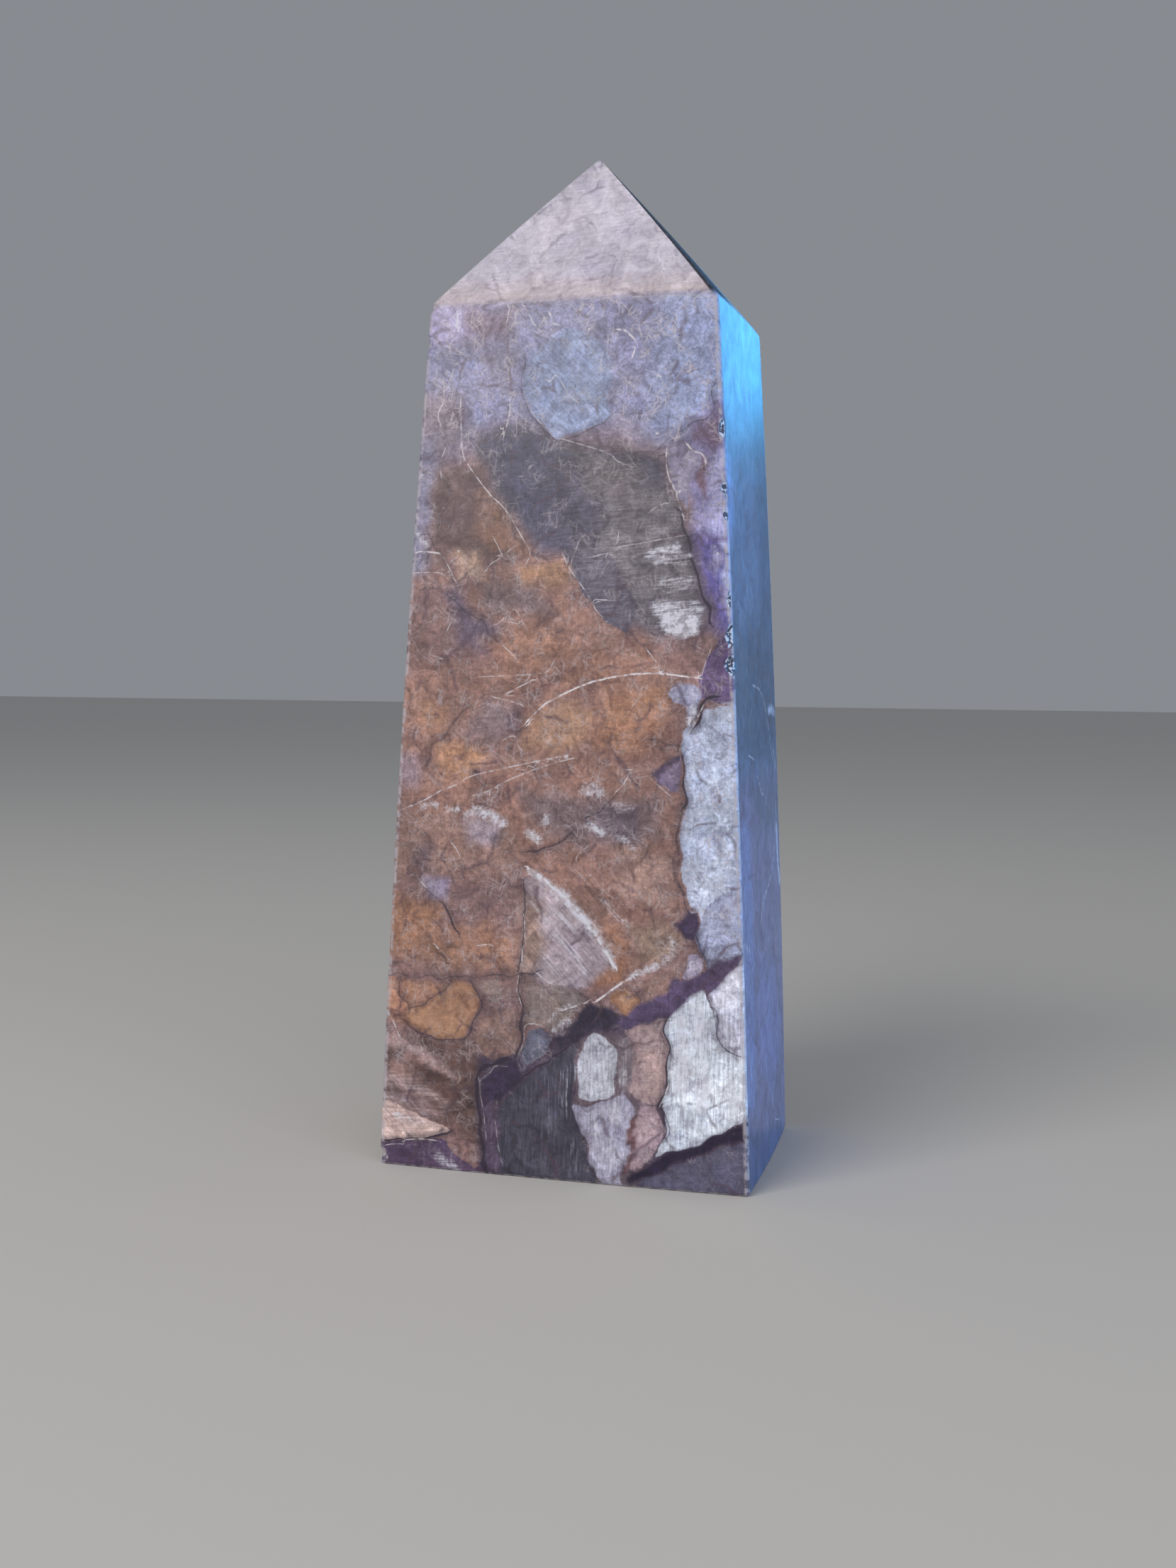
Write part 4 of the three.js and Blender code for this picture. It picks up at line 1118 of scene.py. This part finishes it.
plus, minus, times, timesPlus, larger = (
    {"operation": name} for name in ("ADD", "SUBTRACT", "MULTIPLY", "MULTIPLY_ADD", "MAXIMUM"))


def addNode(tree, nodeKind, *values, **settings):
    # one node: the values and links go to its inputs in their order, None leaves one as it is
    node = tree.nodes.new("ShaderNode" + nodeKind)
    for name, value in settings.items():
        setattr(node, name, value)
    for socket, value in zip([socket for socket in node.inputs if socket.enabled], values):
        if isinstance(value, bpy.types.Node):
            value = next(output for output in value.outputs if output.enabled)
        if isinstance(value, bpy.types.NodeSocket):
            tree.links.new(value, socket)
        elif value is not None:
            socket.default_value = value
    return node


def rgba(hexColour):
    # linear light, opaque
    return (*linear(hexColour), 1)


def overlaidPlates(add, colour, wobble):
    # the plates over the ground colour, each a little deeper in tone towards its rim, the dark ones last
    for name in frontFace["plates"]:
        plate = add("Attribute", attribute_name=name)
        inward = add("Math", plate.outputs["Alpha"], wobble, **plus)
        covered = add("MapRange", inward, *surface["plateBorders"][name], **smoothly)
        if name != "darkPlates":
            rim = add("MapRange", inward, *surface["plateRim"], **smoothly)
            plate = add("Mix", rim, plate, (*surface["rimTone"], 1), **tinting)
        colour = add("Mix", covered, colour, plate, **mixing)
    return colour, covered


def micaFibres(add, place, curl, weights):
    # the sum over fibre kinds of (noise - 0.5) times how strongly that kind shows here
    fibre = add("Math", add("Math", curl, 0.5, **minus), weights.outputs["Alpha"], **times)
    detail, roughness, distortion = surface["fibreNoise"]
    for weight, (turn, length, width) in zip(add("SeparateColor", weights).outputs, surface["fibres"]):
        along = add("Mapping", place, None, (0, 0, math.radians(turn)), (length, width, 1), **laidAlong)
        drawn = add("TexNoise", along, 1.0, detail, roughness, None, distortion, **flatNoise)
        fibre = add("Math", add("Math", drawn, 0.5, **minus), weight, fibre, **timesPlus)
    return fibre


def strandsOver(add, colour, bent, shown):
    # hair-thin mica strands: a sliver in the middle of each long thin cell
    for turn, length, width, share, tone in surface["strands"]:
        along = add("Mapping", bent, None, (0, 0, math.radians(turn)), (length, width, 1), **laidAlong)
        toMiddle = add("TexVoronoi", along, 1.0, **flatCells)
        sliver = add("MapRange", toMiddle, *surface["sliver"], 0, share, **smoothly)
        colour = add("Mix", add("Math", sliver, shown, **times), colour, rgba(tone), **mixing)
    return colour


def lineMask(add, name, fine):
    # how strongly a drawn line shows: full near its middle, its course shaken by the fine noise,
    # and ended a little beyond its points; a dark line has a soft shade beside it
    field = add("Attribute", attribute_name=name)
    signed, plain, halfWidth = add("SeparateColor", field).outputs
    shake = surface["lineShake"]
    shaken = add("Math", add("Math", fine, shake, signed, **timesPlus), shake / 2, **minus)
    fromMiddle = add("Math", shaken, operation="ABSOLUTE")
    outer, inner = (add("Math", halfWidth, *values, **timesPlus) for values in surface["lineBorder"])
    mask = add("MapRange", fromMiddle, outer, inner, **smoothly)
    beyond = add("Math", plain, halfWidth, **minus)
    mask = add("Math", mask, add("MapRange", beyond, *surface["lineEnd"], **smoothly), **times)
    if name == "darkLines":
        shade = add("MapRange", beyond, *surface["shadeBesideLine"], **smoothly)
        mask = add("Math", mask, shade, **larger)
    return add("Math", mask, field.outputs["Alpha"], **times)


def polishedLepidolite():
    # Polished lepidolite: mica books ground flat on a wheel and buffed. Each plate keeps its own
    # colour, fine fibres and scratches run through it, and the polish is satin, duller on chips.
    material = bpy.data.materials.new("polished lepidolite")
    material.use_nodes = True
    material.node_tree.nodes.clear()
    add = partial(addNode, material.node_tree)
    place = add("Attribute", attribute_name="unrolled").outputs["Vector"]
    noises = {name: add("TexNoise", place, 1 / size, detail, roughness, None, distortion, **flatNoise)
              for name, (size, detail, roughness, distortion) in surface["noises"].items()}
    wobble = add("Math", noises["fine"], *surface["wobble"], **timesPlus)
    colour, inDark = overlaidPlates(add, add("Attribute", attribute_name="tint"), wobble)

    # drifts, mottling and mica fibres, calmer on the point and the right face
    busy, glintAt, wearAndHighlightAt, chipAt, mattAt = (add("Attribute", attribute_name=name).outputs["Fac"]
                                             for name in ("busy", "glint", "wearAndHighlight", "chipped", "matt"))
    weights = add("Attribute", attribute_name="grain")
    noises["fibre"] = micaFibres(add, place, noises["curl"], weights)
    for name, start, full, share, tone in surface["tones"]:
        amount = add("Math", add("MapRange", noises[name], start, full, 0, share, **smoothly), busy, **times)
        colour = add("Mix", amount, colour, (*tone, 1), **tinting)

    # mica books: cells that each catch the light a little differently
    size, reach = surface["bend"]
    bender = add("TexNoise", place, 1 / size, 1.0, **flatNoise).outputs["Color"]
    bent = add("VectorMath", bender, (reach, reach, 0), place, **timesPlus)
    size, darkest, lightest = surface["books"]
    book = add("SeparateColor", add("TexVoronoi", bent, 1 / size, **flatCells).outputs["Color"])
    colour = add("Mix", busy, colour, add("MapRange", book, 0, 1, darkest, lightest), **tinting)

    # strands in patches, but not over the dark plates
    inPatches = add("MapRange", noises["patchy"], *surface["strandPatches"], **smoothly)
    shown = add("Math", inPatches, weights.outputs["Alpha"], **times)
    shown = add("Math", shown, add("Math", 1.0, inDark, **minus), **times)
    colour = strandsOver(add, colour, bent, shown)

    # hair cracks between small cells, then the larger lines
    toEdge = add("TexVoronoi", bent, 1 / surface["crackCell"], feature="DISTANCE_TO_EDGE", **flatCells)
    inPatches = add("MapRange", noises["cool"], *surface["crackPatches"], **smoothly)
    crack = add("Math", add("MapRange", toEdge, *surface["crackWidth"], **smoothly), inPatches, **times)
    colour = add("Mix", add("Math", crack, busy, **times), colour, rgba(surface["crack"]), **mixing)
    dark = lineMask(add, "darkLines", noises["fine"])
    colour = add("Mix", dark, colour, rgba(surface["darkLine"]), **mixing)
    pale = lineMask(add, "paleLines", noises["fine"])
    breaks = add("MapRange", noises["broken"], *surface["paleBreaks"], **smoothly)
    colour = add("Mix", add("Math", pale, breaks, **times), colour, rgba(surface["paleLine"]), **mixing)

    # painted highlights: white flashes of light off mica planes, ragged along the fibres
    torn = add("Math", noises["fibre"], surface["flashTear"], glintAt, **timesPlus)
    flash = add("Math", add("MapRange", torn, *surface["flashBorder"], **smoothly),
                add("MapRange", glintAt, *surface["flashReach"], **smoothly), **times)
    breaks = add("MapRange", noises["broken"], *surface["flashBreaks"], **smoothly)
    colour = add("Mix", add("Math", breaks, flash, **times), colour, rgba(surface["flash"]), **mixing)

    # edges pale in places, partly wear and partly painted highlight, and chips with dark facets and bright
    # facets, the bright ones painted glints
    breaks = add("MapRange", noises["broken"], *surface["wearAndHighlightBreaks"], **smoothly)
    colour = add("Mix", add("Math", wearAndHighlightAt, breaks, **times), colour, rgba(surface["wornEdgeAndHighlight"]), **mixing)
    # the bright chip facets are painted glints
    darkFacet, paintedGlintFacet = (rgba(tone) for tone in surface["chips"])
    facet = add("MapRange", noises["chip"], *surface["chipFacets"], **smoothly)
    facet = add("Mix", facet, darkFacet, paintedGlintFacet, **mixing)
    colour = add("Mix", add("MapRange", chipAt, *surface["chipBorder"], **smoothly), colour, facet, **mixing)

    # the polish, duller where the stone is worn, chipped or matt, with the lines a little sunk
    least, more = surface["roughness"]
    gloss = add("Math", noises["soft"], more, least, **timesPlus)
    worn = add("Math", wearAndHighlightAt, chipAt, **larger)
    gloss = add("Math", worn, surface["wornRoughness"], gloss, **timesPlus)
    gloss = add("Math", mattAt, surface["mattRoughness"], gloss, use_clamp=True, **timesPlus)
    height = add("Math", add("Math", dark, pale, **plus), surface["lineGroove"], noises["fine"], **timesPlus)
    bump = add("Bump", surface["bumpStrength"], surface["relief"] * mm, None, height)
    shader = add("BsdfPrincipled", colour, 0.0, gloss, surface["ior"], 1.0, bump)
    add("OutputMaterial", shader)
    return material


stone = bpy.data.objects.new("polished_stone", stoneMesh())
bpy.context.scene.collection.objects.link(stone)
stone.data.materials.append(polishedLepidolite())
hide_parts("lepidolite_tower")
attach(stone, "root")
print("stone:", len(stone.data.polygons), "faces")

# the stage: a plain pale floor, soft lights, and the photograph's camera
stage = {
    "floorColour": "#d9d7d3",
    "floorSize": 6.0,
    "skyColour": "#c9ced6",
    "skyStrength": 0.42,
    "lights": {  # place, size and what it looks at in mm; watts and colour
        "window": ((-260, -520, 420), (420, 420), (0, 0, 60), 2.4, "#fffaf4"),
        "fill": ((420, -420, 260), (500, 500), (0, 0, 50), 0.8, "#f4f6ff"),
    },
    "coolLights": {  # for the stone only, so that the floor stays plain
        "cool panel": ((118, 400, 254), (90, 200), (18, 0, 70), 0.5, "#43b4fa"),
        "cool side": ((380, 90, 110), (260, 260), (16, 0, 45), 1.1, "#55b4ff"),
    },
}


def placed(place, right, upward, back):
    # an object's matrix: its own x, y and z axes as columns, moved to a place in mm
    turn = Matrix(np.stack([right, upward, back], 1).tolist()).to_4x4()
    return Matrix.Translation(np.array(place) * mm) @ turn


def areaLight(name, place, size, lookAt, watts, colour):
    # a rectangular lamp that faces the place it looks at and isn't seen itself
    data = bpy.data.lights.new(name, "AREA")
    data.shape = "RECTANGLE"
    data.size, data.size_y = size[0] * mm, size[1] * mm
    data.energy = watts
    data.color = linear(colour)
    light = bpy.data.objects.new(name, data)
    back = unit(np.subtract(place, lookAt, dtype=float))
    right = unit(np.cross((0, 0, 1), back))
    light.matrix_world = placed(place, right, np.cross(back, right), back)
    light.visible_camera = False
    bpy.context.scene.collection.objects.link(light)
    return light


half = stage["floorSize"] / 2
floorMesh = bpy.data.meshes.new("floor")
floorMesh.from_pydata([(x * half, y * half, 0) for x, y in cornerSigns], [], [(0, 1, 2, 3)])
floor = bpy.data.objects.new("floor", floorMesh)
bpy.context.scene.collection.objects.link(floor)
floorMaterial = bpy.data.materials.new("matt pale floor")
floorMaterial.use_nodes = True
floorShader = floorMaterial.node_tree.nodes["Principled BSDF"]
floorShader.inputs["Base Color"].default_value = rgba(stage["floorColour"])
floorShader.inputs["Roughness"].default_value = 1.0
floorShader.inputs["Specular IOR Level"].default_value = 0.0
floorMesh.materials.append(floorMaterial)
for name, setting in stage["lights"].items():
    areaLight(name, *setting)
stoneOnly = bpy.data.collections.new("lit by the cool lights")
stoneOnly.objects.link(stone)
for name, setting in stage["coolLights"].items():
    areaLight(name, *setting).light_linking.receiver_collection = stoneOnly
world = bpy.data.worlds.new("studio")
world.use_nodes = True
background = world.node_tree.nodes["Background"]
background.inputs[0].default_value = rgba(stage["skyColour"])
background.inputs[1].default_value = stage["skyStrength"]
bpy.context.scene.world = world
bpy.context.scene.view_settings.view_transform = "Standard"
print("stage and lights set")

# The camera was fitted to the tower's corners in the photograph.
view = {
    "place": (44.44, -170.92, 52.12),
    "yaw": -14.82,
    "pitch": 3.76,
    "roll": 0.55,
    "focalPixels": 2259.9,
    "imageHeight": 2212,
    "sensor": 36.0,
    "clipStart": 0.01,
}
yaw, pitch, roll = (math.radians(view[angle]) for angle in ("yaw", "pitch", "roll"))
forward = np.array([math.sin(yaw) * math.cos(pitch), math.cos(yaw) * math.cos(pitch), -math.sin(pitch)])
level = np.array([math.cos(yaw), -math.sin(yaw), 0])
upward = np.cross(level, forward)
right = level * math.cos(roll) + upward * math.sin(roll)
top = -level * math.sin(roll) + upward * math.cos(roll)
cameraData = bpy.data.cameras.new("camera")
cameraData.sensor_width = view["sensor"]
cameraData.lens = view["focalPixels"] / view["imageHeight"] * view["sensor"]
cameraData.clip_start = view["clipStart"]
camera = bpy.data.objects.new("camera", cameraData)
camera.matrix_world = placed(view["place"], right, top, -forward)
bpy.context.scene.collection.objects.link(camera)
bpy.context.scene.camera = camera

print("done")
